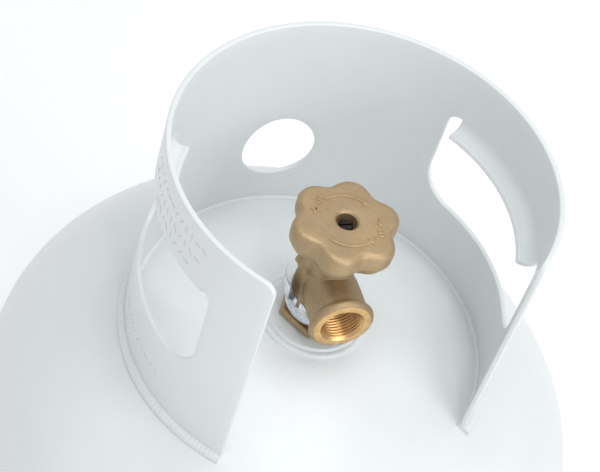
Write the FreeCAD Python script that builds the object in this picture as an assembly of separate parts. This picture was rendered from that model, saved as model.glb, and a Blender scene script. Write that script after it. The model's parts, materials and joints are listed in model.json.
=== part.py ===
import FreeCAD, Part
import math
import os

# Gas cylinder with a welded guard collar and a handwheel service valve.
# Millimetres. Z is the cylinder axis, z = 0 the floor, the valve outlet and
# the mouth of the collar face -Y.

V = FreeCAD.Vector
os.makedirs("parts", exist_ok=True)

# ---- pressure vessel: two drawn halves joined by one girth weld
TANK_R = 170.0
WALL = 3.0
HEAD_DEPTH = 85.0
CROWN_TOP = 336.0
CROWN_BASE = 31.0
TANGENT_TOP = CROWN_TOP - HEAD_DEPTH
TANGENT_BASE = CROWN_BASE + HEAD_DEPTH
SEAM_Z = 183.5
ROOT_GAP = 3.0
JOGGLE = 14.0

# ---- valve boss welded in the crown
BOSS_R = 27.0
BOSS_TOP = 337.5
BOSS_FOOT = 316.0
SPIGOT_R = 19.0

# ---- guard collar
RIM_Z = 457.0
COLLAR_R = 101.5
SHEET = 3.0
MOUTH_HALF = 42.5
GRIP_FROM, GRIP_TO = 60.0, 129.0
GRIP_TOP = 424.0
GRIP_FLOOR = 362.5
GRIP_CORNER = 20.0
GRIP_SHOULDER = 7.0
ROLL_R = 7.0
ROLL_TURN = 125.0
BACK_HOLE_R = 22.0
BACK_HOLE_Z = 363.5
RIM_CORNER = 7.0

# ---- foot ring
FOOT_R = 103.0
FOOT_BEAD = 3.4
SLOT_LONG = 36.0
SLOT_HIGH = 12.0
SLOT_Z = 26.0

# ---- valve body
OUTLET_Z = 365.0
OUTLET_Y = 32.0
HEX_FLATS = 36.0
HEX_Z = (338.0, 342.5)
STEM_TOP_R = 13.4
STEM_BASE = 317.0
TAPER = 1.0 / 32.0
SEALANT = 0.3
BARREL_R = 16.8
NECK_R = 12.5
BODY_TOP = 384.0
BELL_R = 15.6
FLANGE_R = 17.7
INLET_R = 5.0
SEAT_Z = 356.0
SEAT_R = 4.0
CHAMBER_R = 8.5
PLUG_BORE_R = 8.0
THREAD_MINOR_R = 10.3
SOCKET_DEEP = 17.0
RUN = 0.05

# ---- side ports, turned from +Y towards +X
RELIEF_TURN = 40.0
RELIEF_R = 10.0
RELIEF_BORE_R = 8.0
RELIEF_END = 30.0
BLEED_TURN = -15.0
BLEED_Z = 358.0
BLEED_END = 19.5
TUBE_AT = 8.9
TUBE_R = 2.0
TUBE_FOOT = 228.0

# ---- spindle train
LIFT = 5.44
SPINDLE_R = 4.5
SQUARE = 6.3
BONNET_FLATS = 24.0
BONNET_HEX_Z = (384.8, 390.3)
BONNET_TOP = 393.0
WHEEL_TOP = 413.0
WHEEL_FOOT = 395.5
HUB_FOOT = 393.6
WHEEL_R = 30.4
WHEEL_HOLLOW_R = 25.6
LOBES = 6
LOBE_TURN = 35.5
RECESS_R = 5.75
RECESS_FLOOR = 406.0


def face_of(points):
    """Flat face from (r, z) points in the XZ half plane."""
    loop = [V(r, 0, z) for r, z in points]
    return Part.Face(Part.makePolygon(loop + [loop[0]]))


def turned(points, start=0.0, sweep=360.0):
    """Solid of revolution about Z, optionally only a sector of it."""
    solid = face_of(points).revolve(V(0, 0, 0), V(0, 0, 1), sweep)
    solid.rotate(V(0, 0, 0), V(0, 0, 1), start)
    return solid


def cyl(radius, z0, z1, x=0.0, y=0.0):
    return Part.makeCylinder(radius, z1 - z0, V(x, y, z0))


def tube(r_in, r_out, z0, z1):
    return cyl(r_out, z0, z1).cut(cyl(r_in, z0, z1))


def heading(turn):
    """Unit vector turned from +Y towards +X."""
    a = math.radians(turn)
    return V(math.sin(a), math.cos(a), 0)


def rod(radius, s0, s1, turn, z):
    """Horizontal cylinder along a heading, from s0 to s1 off the axis."""
    way = heading(turn)
    return Part.makeCylinder(radius, s1 - s0, way * s0 + V(0, 0, z), way)


def hexagon(flats, z0, z1, turn=0.0):
    corner = flats / math.sqrt(3.0)
    pts = []
    for i in range(7):
        a = math.radians(60.0 * i + turn)
        pts.append(V(corner * math.cos(a), corner * math.sin(a), z0))
    return Part.Face(Part.makePolygon(pts)).extrude(V(0, 0, z1 - z0))


def hex_chamfered(flats, z0, z1, turn=0.0):
    """Hexagon with its corners turned off at top and bottom."""
    corner = flats / math.sqrt(3.0)
    low = corner - 0.9
    cone = turned([(0, z0), (low, z0), (corner, z0 + 0.6), (corner, z1 - 0.6),
                   (low, z1), (0, z1)])
    return hexagon(flats, z0, z1, turn).common(cone)


def ellipsoid_half(radius, depth, tangent):
    """Solid half ellipsoid of a dished head, with a coin-sized flat on its crown."""
    end = math.acos(6.0 / radius)
    foot = V(0, 0, tangent)
    curve = Part.Ellipse(V(radius, 0, tangent), V(0, 0, tangent + depth), foot)
    flat = V(6.0, 0, tangent + depth * math.sin(end))
    crown = V(0, 0, flat.z)
    wire = Part.Wire([Part.Edge(curve, 0.0, end), Part.makeLine(flat, crown),
                      Part.makeLine(crown, foot), Part.makeLine(foot, V(radius, 0, tangent))])
    return Part.Face(wire).revolve(V(0, 0, 0), V(0, 0, 1), 360.0)


def turned_over(head):
    """The same head the other way up, moved to the bottom tangent line."""
    head = head.copy()
    head.rotate(V(0, 0, TANGENT_TOP), V(1, 0, 0), 180.0)
    head.translate(V(0, 0, TANGENT_BASE - TANGENT_TOP))
    return head


def head_z(radius):
    """Height of the top head's outer surface at a radius."""
    return TANGENT_TOP + HEAD_DEPTH * math.sqrt(1.0 - (radius / TANK_R) ** 2)


def base_z(radius):
    """Height of the bottom head's outer surface at a radius."""
    return TANGENT_BASE - HEAD_DEPTH * math.sqrt(1.0 - (radius / TANK_R) ** 2)


def sector(r_in, r_out, z0, z1, a0, a1):
    """Annular block between two angles measured from +X."""
    return turned([(r_in, z0), (r_out, z0), (r_out, z1), (r_in, z1)], a0, a1 - a0)


def front_angle(theta):
    """Angle from +X of a direction given from the front, positive to +X."""
    return theta - 90.0


def save(node, shape):
    if isinstance(shape, list):
        shape = Part.makeCompound(shape)
    shape.exportStep("parts/" + node + ".step")


# ---------------------------------------------------------------- shells
TOP_HEAD = ellipsoid_half(TANK_R, HEAD_DEPTH, TANGENT_TOP)
TOP_HOLLOW = ellipsoid_half(TANK_R - WALL, HEAD_DEPTH - WALL, TANGENT_TOP)
LOW_HEAD = turned_over(TOP_HEAD)
LOW_HOLLOW = turned_over(TOP_HOLLOW)
SEAM_TOP = SEAM_Z + ROOT_GAP / 2.0
SEAM_LOW = SEAM_Z - ROOT_GAP / 2.0


def upper_shell():
    """Top half: dished head, plain skirt, hole for the boss spigot."""
    shell = TOP_HEAD.cut(TOP_HOLLOW)
    shell = shell.fuse(tube(TANK_R - WALL, TANK_R, SEAM_TOP, TANGENT_TOP))
    return shell.cut(cyl(SPIGOT_R, CROWN_TOP - 20, CROWN_TOP + 10)).removeSplitter()


def lower_shell():
    """Bottom half, its edge stepped inwards to back up the girth weld."""
    r = TANK_R - WALL
    wall = turned([(r, TANGENT_BASE), (TANK_R, TANGENT_BASE), (TANK_R, SEAM_LOW),
                   (r, SEAM_LOW), (r, SEAM_Z + JOGGLE), (r - WALL, SEAM_Z + JOGGLE),
                   (r - WALL, SEAM_LOW - 9), (r, SEAM_LOW - 12)])
    return LOW_HEAD.cut(LOW_HOLLOW).fuse(wall).removeSplitter()


def girth_weld():
    """Weld filling the root gap, capped by a low rounded bead."""
    crown = 1.7
    half = 5.5
    lip = Part.Arc(V(TANK_R, 0, SEAM_Z + half), V(TANK_R + crown, 0, SEAM_Z),
                   V(TANK_R, 0, SEAM_Z - half)).toShape()
    side = Part.makeLine(V(TANK_R, 0, SEAM_Z - half), V(TANK_R, 0, SEAM_Z + half))
    bead = Part.Face(Part.Wire([lip, side])).revolve(V(0, 0, 0), V(0, 0, 1), 360.0)
    root = tube(TANK_R - WALL, TANK_R, SEAM_LOW, SEAM_TOP)
    return bead.fuse(root).removeSplitter()


# ---------------------------------------------------------------- boss
def stem_r(z):
    return STEM_TOP_R - (HEX_Z[0] - z) * TAPER


def tapered(z0, z1, extra):
    """Solid taper following the inlet thread, grown by extra."""
    return turned([(0, z0), (stem_r(z0) + extra, z0), (stem_r(z1) + extra, z1), (0, z1)])


def valve_boss():
    """Flanged bung: collar on the crown, spigot through it, tapered bore."""
    flange = turned([(0, CROWN_TOP - 12), (BOSS_R, CROWN_TOP - 12),
                     (BOSS_R, BOSS_TOP - 1.0), (BOSS_R - 1.0, BOSS_TOP), (0, BOSS_TOP)])
    flange = flange.cut(TOP_HEAD)
    spigot = turned([(0, BOSS_FOOT), (SPIGOT_R - 1.5, BOSS_FOOT), (SPIGOT_R, BOSS_FOOT + 1.5),
                     (SPIGOT_R, BOSS_TOP - 1), (0, BOSS_TOP - 1)])
    ring = flange.fuse(spigot)
    return ring.cut(tapered(BOSS_FOOT - 1, BOSS_TOP + 1, SEALANT)).removeSplitter()


def boss_weld():
    """Fillet bead round the boss flange."""
    reach = 6.0
    top = BOSS_TOP - 1.2
    ring = turned([(BOSS_R, top - 8), (BOSS_R + reach, top - 8),
                   (BOSS_R + reach, head_z(BOSS_R + reach)),
                   (BOSS_R + reach * 0.55, head_z(BOSS_R) + 1.1), (BOSS_R, top)])
    return ring.cut(TOP_HEAD).removeSplitter()


# ---------------------------------------------------------------- collar
def radial_round(theta, z, radius):
    """Round bar through the sheet, pointing along a radius."""
    return rod(radius, COLLAR_R - 30, COLLAR_R + 20, 180.0 - theta, z)


def grip_cutter(side):
    """Rounded oblong window through the sheet; side is +1 or -1."""
    r0, r1 = COLLAR_R - 12, COLLAR_R + 12
    inset = math.degrees(GRIP_CORNER / COLLAR_R)
    bend = math.degrees(GRIP_SHOULDER / COLLAR_R)
    low, high = GRIP_FLOOR + GRIP_CORNER, GRIP_TOP - GRIP_SHOULDER
    lo, hi = sorted((side * GRIP_FROM, side * GRIP_TO))
    wide = sector(r0, r1, low, high, front_angle(lo), front_angle(hi))
    floor = sector(r0, r1, GRIP_FLOOR, low, front_angle(lo + inset), front_angle(hi - inset))
    top = sector(r0, r1, low, GRIP_TOP, front_angle(lo + bend), front_angle(hi - bend))
    cutter = wide.fuse(floor).fuse(top)
    for way in (1, -1):
        edge = lo if way == 1 else hi
        cutter = cutter.fuse(radial_round(edge + way * inset, low, GRIP_CORNER))
        cutter = cutter.fuse(radial_round(edge + way * bend, high, GRIP_SHOULDER))
    window = sector(r0, r1, GRIP_FLOOR, GRIP_TOP, front_angle(lo), front_angle(hi))
    return cutter.common(window)


def grip_roll(side):
    """Sheet rolled inwards under the top edge of a handhold."""
    centre = COLLAR_R - SHEET / 2.0 - ROLL_R
    outer = ROLL_R + SHEET / 2.0
    inner = ROLL_R - SHEET / 2.0

    def at(radius, degrees):
        a = math.radians(degrees)
        return V(centre + radius * math.cos(a), 0, GRIP_TOP + radius * math.sin(a))

    half = -ROLL_TURN / 2.0
    wire = Part.Wire([
        Part.Arc(at(outer, 0), at(outer, half), at(outer, -ROLL_TURN)).toShape(),
        Part.makeLine(at(outer, -ROLL_TURN), at(inner, -ROLL_TURN)),
        Part.Arc(at(inner, -ROLL_TURN), at(inner, half), at(inner, 0)).toShape(),
        Part.makeLine(at(inner, 0), at(outer, 0))])
    lo, hi = sorted((side * (GRIP_FROM + 4.4), side * (GRIP_TO - 4.4)))
    roll = Part.Face(wire).revolve(V(0, 0, 0), V(0, 0, 1), hi - lo)
    roll.rotate(V(0, 0, 0), V(0, 0, 1), front_angle(lo))
    return roll


def corner_cutter(side):
    """Takes the sharp corner off the sheet beside the mouth."""
    way = heading(180.0 - side * MOUTH_HALF)
    along = V(-way.y, way.x, 0) * side
    start = way * (COLLAR_R - 15)
    square = Part.makePolygon([start + V(0, 0, RIM_Z + 2),
                               start + V(0, 0, RIM_Z - RIM_CORNER),
                               start + along * RIM_CORNER + V(0, 0, RIM_Z - RIM_CORNER),
                               start + along * RIM_CORNER + V(0, 0, RIM_Z + 2),
                               start + V(0, 0, RIM_Z + 2)])
    block = Part.Face(square).extrude(way * 30)
    keep = Part.makeCylinder(RIM_CORNER, 40,
                             start + along * RIM_CORNER + V(0, 0, RIM_Z - RIM_CORNER) - way * 5,
                             way)
    return block.cut(keep)


def collar():
    """Rolled sheet guard: open front, two handholds, round hole behind."""
    rim = turned([(COLLAR_R - SHEET, 300), (COLLAR_R, 300), (COLLAR_R, RIM_Z - 0.8),
                  (COLLAR_R - 0.8, RIM_Z), (COLLAR_R - SHEET + 0.8, RIM_Z),
                  (COLLAR_R - SHEET, RIM_Z - 0.8)],
                 front_angle(MOUTH_HALF), 360.0 - 2.0 * MOUTH_HALF)
    sheet = rim.cut(TOP_HEAD)
    sheet = sheet.cut(radial_round(180.0, BACK_HOLE_Z, BACK_HOLE_R))
    for side in (1, -1):
        sheet = sheet.cut(grip_cutter(side))
        sheet = sheet.fuse(grip_roll(side))
        sheet = sheet.cut(corner_cutter(side))
    return sheet.removeSplitter()


def collar_weld():
    """Fillet beads where the sheet meets the dome, outside and inside."""
    beads = []
    for r0, leg in ((COLLAR_R, 5.0), (COLLAR_R - SHEET, -2.6)):
        rise = abs(leg)
        r1 = r0 + leg
        mid = r0 + 0.58 * leg
        section = [(r0, head_z(r0) - 6), (r1, head_z(r1) - 6), (r1, head_z(r1)),
                   (mid, head_z(mid) + 0.46 * rise), (r0, head_z(r0) + rise)]
        bead = turned(section, front_angle(MOUTH_HALF), 360.0 - 2.0 * MOUTH_HALF)
        beads.append(bead.cut(TOP_HEAD))
    return beads


# ---------------------------------------------------------------- foot ring
def foot_ring():
    """Ring stood on a rolled bead, slotted so water drains."""
    wall = turned([(FOOT_R - SHEET, 3.0), (FOOT_R, 3.0), (FOOT_R, 80), (FOOT_R - SHEET, 80)])
    wall = wall.cut(LOW_HEAD).cut(cyl(TANK_R, TANGENT_BASE - 1, 200))
    wall = wall.common(cyl(FOOT_R + 1, 0, base_z(FOOT_R) + 1))
    bead = Part.makeTorus(FOOT_R - SHEET / 2.0, FOOT_BEAD, V(0, 0, FOOT_BEAD))
    flat = tube(FOOT_R - SHEET / 2.0 - FOOT_BEAD, FOOT_R - SHEET / 2.0 + FOOT_BEAD, 0.6, 40)
    ring = wall.fuse(bead.common(flat))
    for i in range(4):
        turn = 45.0 + 90.0 * i
        way = heading(turn)
        across = V(way.y, -way.x, 0)
        run = (SLOT_LONG - SLOT_HIGH) / 2.0
        for side in (-1, 1):
            centre = way * (FOOT_R - 20) + across * (side * run) + V(0, 0, SLOT_Z)
            ring = ring.cut(Part.makeCylinder(SLOT_HIGH / 2.0, 40, centre, way))
        start = way * (FOOT_R - 20) - across * run + V(0, 0, SLOT_Z - SLOT_HIGH / 2.0)
        loop = [start, start + across * (2 * run), start + across * (2 * run) + V(0, 0, SLOT_HIGH),
                start + V(0, 0, SLOT_HIGH), start]
        ring = ring.cut(Part.Face(Part.makePolygon(loop)).extrude(way * 40))
    ring.translate(V(0, 0, -0.6))
    return ring.cut(LOW_HEAD).removeSplitter()


def foot_ring_weld():
    """Fillet bead round the outside of the ring under the bottom head."""
    r0 = FOOT_R
    r1 = FOOT_R + 5.0
    mid = FOOT_R + 2.9
    ring = turned([(r0, base_z(r0) - 5.0), (mid, base_z(mid) - 2.3), (r1, base_z(r1)),
                   (r1, base_z(r1) + 8), (r0, base_z(r0) + 8)])
    return ring.cut(LOW_HEAD).removeSplitter()


# ---------------------------------------------------------------- valve body
RELIEF = heading(RELIEF_TURN)
NOZZLE_TIP = 15.5
RETAINER_IN = 26.5


def bell(radius, d0, d1):
    """Horizontal cylinder along the outlet, distances towards the front."""
    return Part.makeCylinder(radius, d1 - d0, V(0, -d0, OUTLET_Z), V(0, -1, 0))


def turned_front(points):
    """Solid of revolution about the outlet axis from (r, distance) points."""
    loop = [V(r, -d, OUTLET_Z) for r, d in points]
    face = Part.Face(Part.makePolygon(loop + [loop[0]]))
    return face.revolve(V(0, 0, OUTLET_Z), V(0, 1, 0), 360.0)


def barrel():
    """Upright casting: plain drum, rounded shoulder, neck for the bonnet."""
    shoulder = Part.Arc(V(BARREL_R, 0, 361.0), V(BARREL_R - 1.0, 0, 366.6),
                        V(NECK_R + 0.4, 0, 372.0)).toShape()
    corners = [V(NECK_R + 0.4, 0, 372.0), V(NECK_R, 0, 374.0), V(NECK_R, 0, BODY_TOP - 0.6),
               V(NECK_R - 0.6, 0, BODY_TOP), V(0, 0, BODY_TOP), V(0, 0, HEX_Z[1] - 0.5),
               V(15.0, 0, HEX_Z[1] - 0.5), V(15.0, 0, 343.6), V(BARREL_R - 0.5, 0, 343.9),
               V(BARREL_R, 0, 344.4), V(BARREL_R, 0, 361.0)]
    wire = Part.Wire([shoulder] + Part.makePolygon(corners).Edges)
    return Part.Face(wire).revolve(V(0, 0, 0), V(0, 0, 1), 360.0)


def valve_body():
    """Brass casting with every bore and passage cut through it."""
    body = barrel()
    body = body.fuse(hex_chamfered(HEX_FLATS, HEX_Z[0], HEX_Z[1], 0.0))
    body = body.fuse(tapered(STEM_BASE, HEX_Z[0], 0.0))
    body = body.fuse(turned_front([
        (0, 0), (BELL_R - 1.2, 3), (BELL_R - 0.2, 8), (BELL_R, 14), (BELL_R, 22),
        (BELL_R - 0.3, 25.5), (BELL_R + 0.9, 27.3), (FLANGE_R, 28.2), (FLANGE_R, 29.8),
        (FLANGE_R - 0.8, 31.2), (FLANGE_R - 2.6, OUTLET_Y), (0, OUTLET_Y)]))
    body = body.fuse(rod(RELIEF_R, 5, RELIEF_END, RELIEF_TURN, OUTLET_Z))
    body = body.fuse(rod(4.6, 8, BLEED_END, BLEED_TURN, BLEED_Z))

    # main bore: inlet, chamber with its raised seat, plug thread, bonnet thread
    chamber = cyl(CHAMBER_R, SEAT_Z - 3.0, 367.0).cut(tube(SEAT_R, SEAT_R + 1.6,
                                                           SEAT_Z - 3.0, SEAT_Z))
    body = body.cut(chamber)
    body = body.cut(cyl(INLET_R, STEM_BASE - 1, 350.0))
    body = body.cut(cyl(SEAT_R, 349.0, SEAT_Z - 2.9))
    body = body.cut(cyl(PLUG_BORE_R, 366.9, 377.0))
    body = body.cut(cyl(10.0, 377.0, BODY_TOP + 1))

    # outlet socket with its sealing cone, and the way through to the chamber
    cone = OUTLET_Y - SOCKET_DEEP
    body = body.cut(turned_front([
        (0, cone - 3.5), (4.5, cone - 3.5), (THREAD_MINOR_R, cone), (THREAD_MINOR_R, OUTLET_Y - 1.9),
        (12.1, OUTLET_Y), (12.1, OUTLET_Y + 1), (0, OUTLET_Y + 1)]))
    body = body.cut(Part.makeCylinder(3.2, cone - 3, V(0, -(cone - 2), OUTLET_Z - 1), V(0, 1, 0)))

    # relief port: bore, nozzle, passage down to the inlet
    bore = rod(RELIEF_BORE_R, 13.5, RELIEF_END + 1, RELIEF_TURN, OUTLET_Z)
    nozzle = rod(4.2, 13.5, NOZZLE_TIP, RELIEF_TURN, OUTLET_Z)
    body = body.cut(bore.cut(nozzle))
    body = body.cut(rod(3.0, 10.6, NOZZLE_TIP + 0.1, RELIEF_TURN, OUTLET_Z))
    drop = RELIEF * 11.9
    body = body.cut(cyl(1.4, 347.0, OUTLET_Z, drop.x, drop.y))
    body = body.cut(rod(1.4, 0, 12.4, RELIEF_TURN, 347.8))

    # bleed port: threaded pocket, cone seat, slanting drill down to the tube
    body = body.cut(rod(2.55, 12.6, BLEED_END + 1, BLEED_TURN, BLEED_Z))
    foot = heading(BLEED_TURN) * TUBE_AT
    body = body.cut(cyl(TUBE_R, STEM_BASE - 1, 325.0, foot.x, foot.y))
    low = foot + V(0, 0, 324.5)
    high = heading(BLEED_TURN) * 12.9 + V(0, 0, BLEED_Z)
    body = body.cut(Part.makeCylinder(0.9, (high - low).Length, low, high - low))
    return body.removeSplitter()


def thread_sealant():
    """Thin sealed taper between the inlet thread and the boss."""
    sleeve = tapered(BOSS_FOOT + 4, HEX_Z[0], SEALANT)
    lip = turned([(0, BOSS_TOP), (stem_r(BOSS_TOP) + 1.3, BOSS_TOP),
                  (stem_r(HEX_Z[0]) + 0.9, HEX_Z[0]), (0, HEX_Z[0])])
    return sleeve.fuse(lip).cut(tapered(STEM_BASE - 1, HEX_Z[0] + 1, 0.0)).removeSplitter()


def neck_band():
    """Bright sheet strap round the barrel with a raised slotted tab."""
    r0 = BARREL_R + 0.04
    r1 = r0 + 0.7
    hoop = sector(r0, r1, 344.6, 349.0, front_angle(-155), front_angle(100))
    panel = sector(r0, r1, 344.6, 357.5, front_angle(-130), front_angle(-22))
    tab = turned([(r0, 352.0), (r1, 351.6), (r1 + 4.4, 356.6), (r1 + 4.8, 366.8),
                  (r0 + 4.8, 366.8), (r0 + 4.4, 357.0)], front_angle(-122), 44.0)
    band = hoop.fuse(panel).fuse(tab)
    for z in (346.2, 347.9, 351.2, 352.9):
        bead = Part.makeTorus(r1 - 0.05, 0.5, V(0, 0, z))
        keep = sector(r0 + 0.02, r1 + 1, z - 1, z + 1, front_angle(-128), front_angle(-24))
        band = band.fuse(bead.common(keep))
    slot_way = heading(180.0 + 64.0)
    for z in (353.6, 360.6):
        band = band.cut(Part.makeCylinder(1.25, 12, slot_way * 12 + V(0, 0, z), slot_way))
    across = V(slot_way.y, -slot_way.x, 0) * 1.25
    loop = [slot_way * 12 - across, slot_way * 12 + across]
    loop = [p + V(0, 0, 353.6) for p in loop] + [p + V(0, 0, 360.6) for p in reversed(loop)]
    band = band.cut(Part.Face(Part.makePolygon(loop + [loop[0]])).extrude(slot_way * 12))
    clear = bell(BELL_R + 0.25, 0, 26).fuse(bell(FLANGE_R + 0.25, 26, 40))
    band = band.cut(clear)
    band = band.cut(rod(4.9, 8, 30, BLEED_TURN, BLEED_Z))
    band = band.cut(rod(RELIEF_R + 0.3, 5, 30, RELIEF_TURN, OUTLET_Z))
    pieces = sorted(band.Solids, key=lambda s: -s.Volume)
    return pieces[0]


# ---------------------------------------------------------------- bonnet
WASHER_Z = (384.55, 385.3)
RING_Z = (387.5, 390.5)
RING_SECTION_R = 0.8
RING_OUT = SPINDLE_R + 0.02


def bonnet():
    """Gland nut: skirt screwed into the body, bored for the spindle."""
    top = BONNET_TOP
    nut = turned([(0, 377.0), (10.0, 377.0), (10.0, BONNET_HEX_Z[0]), (0, BONNET_HEX_Z[0])])
    nut = nut.fuse(hex_chamfered(BONNET_FLATS, BONNET_HEX_Z[0], BONNET_HEX_Z[1], 8.0))
    nut = nut.fuse(turned([(0, 388), (7.5, 388), (7.5, top - 0.5), (7.0, top), (0, top)]))
    nut = nut.cut(cyl(8.3, 376.0, WASHER_Z[1]))
    return nut.cut(cyl(SPINDLE_R + RUN, WASHER_Z[1] - 1, top + 1)).removeSplitter()


def bonnet_gasket():
    return tube(10.0, NECK_R - 0.3, BODY_TOP, BONNET_HEX_Z[0])


def thrust_washer():
    return tube(SPINDLE_R + RUN, 8.2, *WASHER_Z)


def spindle():
    """Turned spindle: thrust flange, two ring grooves, square drive, tang."""
    groove = RING_OUT - 2.0 * RING_SECTION_R
    stem = cyl(7.6, 382.5, 384.5).fuse(cyl(SPINDLE_R, 384.5, HUB_FOOT + 0.2))
    for z in RING_Z:
        stem = stem.cut(tube(groove, SPINDLE_R + 1, z - 1.0, z + 1.0))
    half = SQUARE / 2.0
    drive = Part.makeBox(SQUARE, SQUARE, RECESS_FLOOR - 0.4 - HUB_FOOT,
                         V(-half, -half, HUB_FOOT))
    drive.rotate(V(0, 0, 0), V(0, 0, 1), front_angle(LOBE_TURN))
    tang = Part.makeBox(9.0, 2.4, 382.6 - 374.6, V(-4.5, -1.2, 374.6))
    stem = stem.fuse(drive.common(cyl(SPINDLE_R, 380, 420))).fuse(tang)
    return stem.cut(cyl(1.65, RECESS_FLOOR - 9.5, RECESS_FLOOR)).removeSplitter()


def spindle_rings():
    """Two rubber rings, alike, in the spindle grooves."""
    return [Part.makeTorus(RING_OUT - RING_SECTION_R, RING_SECTION_R, V(0, 0, z))
            for z in RING_Z]


def lower_plug():
    """Threaded plug driven by the tang, carrying the seat disc."""
    seat = SEAT_Z + 0.02
    plug = turned([(0, seat), (6.6, seat), (7.0, seat + 0.4), (7.0, 360.0), (5.0, 361.2),
                   (5.0, 367.2), (7.95, 367.7), (7.95, 376.1), (7.5, 376.5), (0, 376.5)])
    plug = plug.cut(cyl(5.6, seat - 1, seat + 2.2))
    return plug.cut(Part.makeBox(20, 2.6, 10, V(-10, -1.3, 368.4)))


def seat_disc():
    return cyl(5.6, SEAT_Z + 0.02, SEAT_Z + 2.22)


# ---------------------------------------------------------------- handwheel
def lobe_outline(grow, z):
    """Closed wavy outline of the handwheel, shrunk or grown, at a height."""
    mean = (WHEEL_R + WHEEL_HOLLOW_R) / 2.0
    swing = (WHEEL_R - WHEEL_HOLLOW_R) / 2.0
    pts = []
    for i in range(72):
        a = math.radians(5.0 * i)
        wave = math.cos(LOBES * (a - math.radians(front_angle(LOBE_TURN))))
        r = mean + swing * wave + grow
        pts.append(V(r * math.cos(a), r * math.sin(a), z))
    curve = Part.BSplineCurve()
    curve.interpolate(Points=pts, PeriodicFlag=True)
    return Part.Wire(curve.toShape())


def arrow(a0, a1):
    """Raised curved arrow on the wheel's face, head at a1."""
    z0, z1 = WHEEL_TOP - 0.5, WHEEL_TOP + 0.5
    lo, hi = sorted((a0, a1))
    shaft = sector(16.6, 17.6, z0, z1, lo, hi)
    tip = math.radians(a1 + math.copysign(13.0, a1 - a0))
    back = math.radians(a1)
    loop = [V(14.9 * math.cos(back), 14.9 * math.sin(back), z0),
            V(19.3 * math.cos(back), 19.3 * math.sin(back), z0),
            V(17.1 * math.cos(tip), 17.1 * math.sin(tip), z0)]
    head = Part.Face(Part.makePolygon(loop + [loop[0]])).extrude(V(0, 0, z1 - z0))
    return shaft.fuse(head)


def handwheel():
    """Six-lobed cast wheel, hub below, round recess over the screw."""
    section = [(-4.6, WHEEL_FOOT), (-2.6, WHEEL_FOOT + 1.0), (-1.2, WHEEL_FOOT + 4.0),
               (0.0, WHEEL_FOOT + 9.5), (0.0, WHEEL_TOP - 4.0), (-0.9, WHEEL_TOP - 1.6),
               (-3.4, WHEEL_TOP)]
    wheel = Part.makeLoft([lobe_outline(g, z) for g, z in section], True, False)
    pocket = turned([(9.6, WHEEL_FOOT - 1), (17.6, WHEEL_FOOT - 1), (16.6, WHEEL_FOOT + 8),
                     (10.4, WHEEL_FOOT + 8)])
    wheel = wheel.cut(pocket)
    wheel = wheel.fuse(turned([(0, HUB_FOOT), (8.6, HUB_FOOT), (9.2, HUB_FOOT + 0.6),
                               (10.2, WHEEL_FOOT + 6), (0, WHEEL_FOOT + 6)]))
    recess = turned([(0, RECESS_FLOOR), (RECESS_R, RECESS_FLOOR), (RECESS_R, WHEEL_TOP - 0.7),
                     (RECESS_R + 0.9, WHEEL_TOP), (RECESS_R + 0.9, WHEEL_TOP + 1),
                     (0, WHEEL_TOP + 1)])
    wheel = wheel.cut(recess)
    half = SQUARE / 2.0
    square = Part.makeBox(SQUARE, SQUARE, 30, V(-half, -half, HUB_FOOT - 5))
    square.rotate(V(0, 0, 0), V(0, 0, 1), front_angle(LOBE_TURN))
    wheel = wheel.cut(square.common(cyl(SPINDLE_R, 380, 420)))
    wheel = wheel.cut(cyl(SPINDLE_R, HUB_FOOT - 1, HUB_FOOT + 0.2))
    for a0, a1 in ((-140.0, -62.0), (118.0, 42.0)):
        wheel = wheel.fuse(arrow(a0, a1))
    bar = Part.makeBox(4.6, 1.0, 1.0, V(-2.3, 16.6, WHEEL_TOP - 0.5))
    post = Part.makeBox(1.0, 4.6, 1.0, V(-0.5, 14.8, WHEEL_TOP - 0.5))
    plus = bar.fuse(post)
    plus.rotate(V(0, 0, 0), V(0, 0, 1), 60.0)
    minus = bar.copy()
    minus.rotate(V(0, 0, 0), V(0, 0, 1), -100.0)
    return wheel.fuse(plus).fuse(minus).removeSplitter()


def wheel_washer():
    """Split spring washer under the screw head."""
    ring = tube(1.7, 4.6, RECESS_FLOOR, RECESS_FLOOR + 0.9)
    return ring.cut(Part.makeBox(6, 0.6, 3, V(0, -0.3, RECESS_FLOOR - 1)))


def wheel_screw():
    """Slotted cheese-head screw holding the wheel on the square."""
    z = RECESS_FLOOR + 0.9
    head = turned([(0, z), (4.2, z), (4.2, z + 2.0), (3.4, z + 2.8), (0, z + 2.8)])
    screw = head.fuse(cyl(1.65, RECESS_FLOOR - 9.0, z))
    return screw.cut(Part.makeBox(12, 1.1, 2, V(-6, -0.55, z + 1.6))).removeSplitter()


# ---------------------------------------------------------------- relief valve
def along_relief(points):
    """Solid of revolution about the relief axis from (r, distance) points."""
    loop = [V(r, 0, s) for r, s in points]
    solid = Part.Face(Part.makePolygon(loop + [loop[0]])).revolve(V(0, 0, 0), V(0, 0, 1), 360.0)
    solid.rotate(V(0, 0, 0), V(1, 0, 0), -90.0)
    solid.rotate(V(0, 0, 0), V(0, 0, 1), -RELIEF_TURN)
    solid.translate(V(0, 0, OUTLET_Z))
    return solid


def relief_retainer():
    """Threaded plug closing the port, drilled for the stem and for gas."""
    plug = along_relief([(2.3, RETAINER_IN), (8.0, RETAINER_IN), (8.0, RELIEF_END),
                         (2.3, RELIEF_END)])
    across = heading(RELIEF_TURN + 90.0)
    for i in range(4):
        a = math.radians(45.0 + 90.0 * i)
        off = across * (5.2 * math.cos(a)) + V(0, 0, OUTLET_Z + 5.2 * math.sin(a))
        plug = plug.cut(Part.makeCylinder(1.2, 6, RELIEF * 25.5 + off, RELIEF))
    return plug


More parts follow.
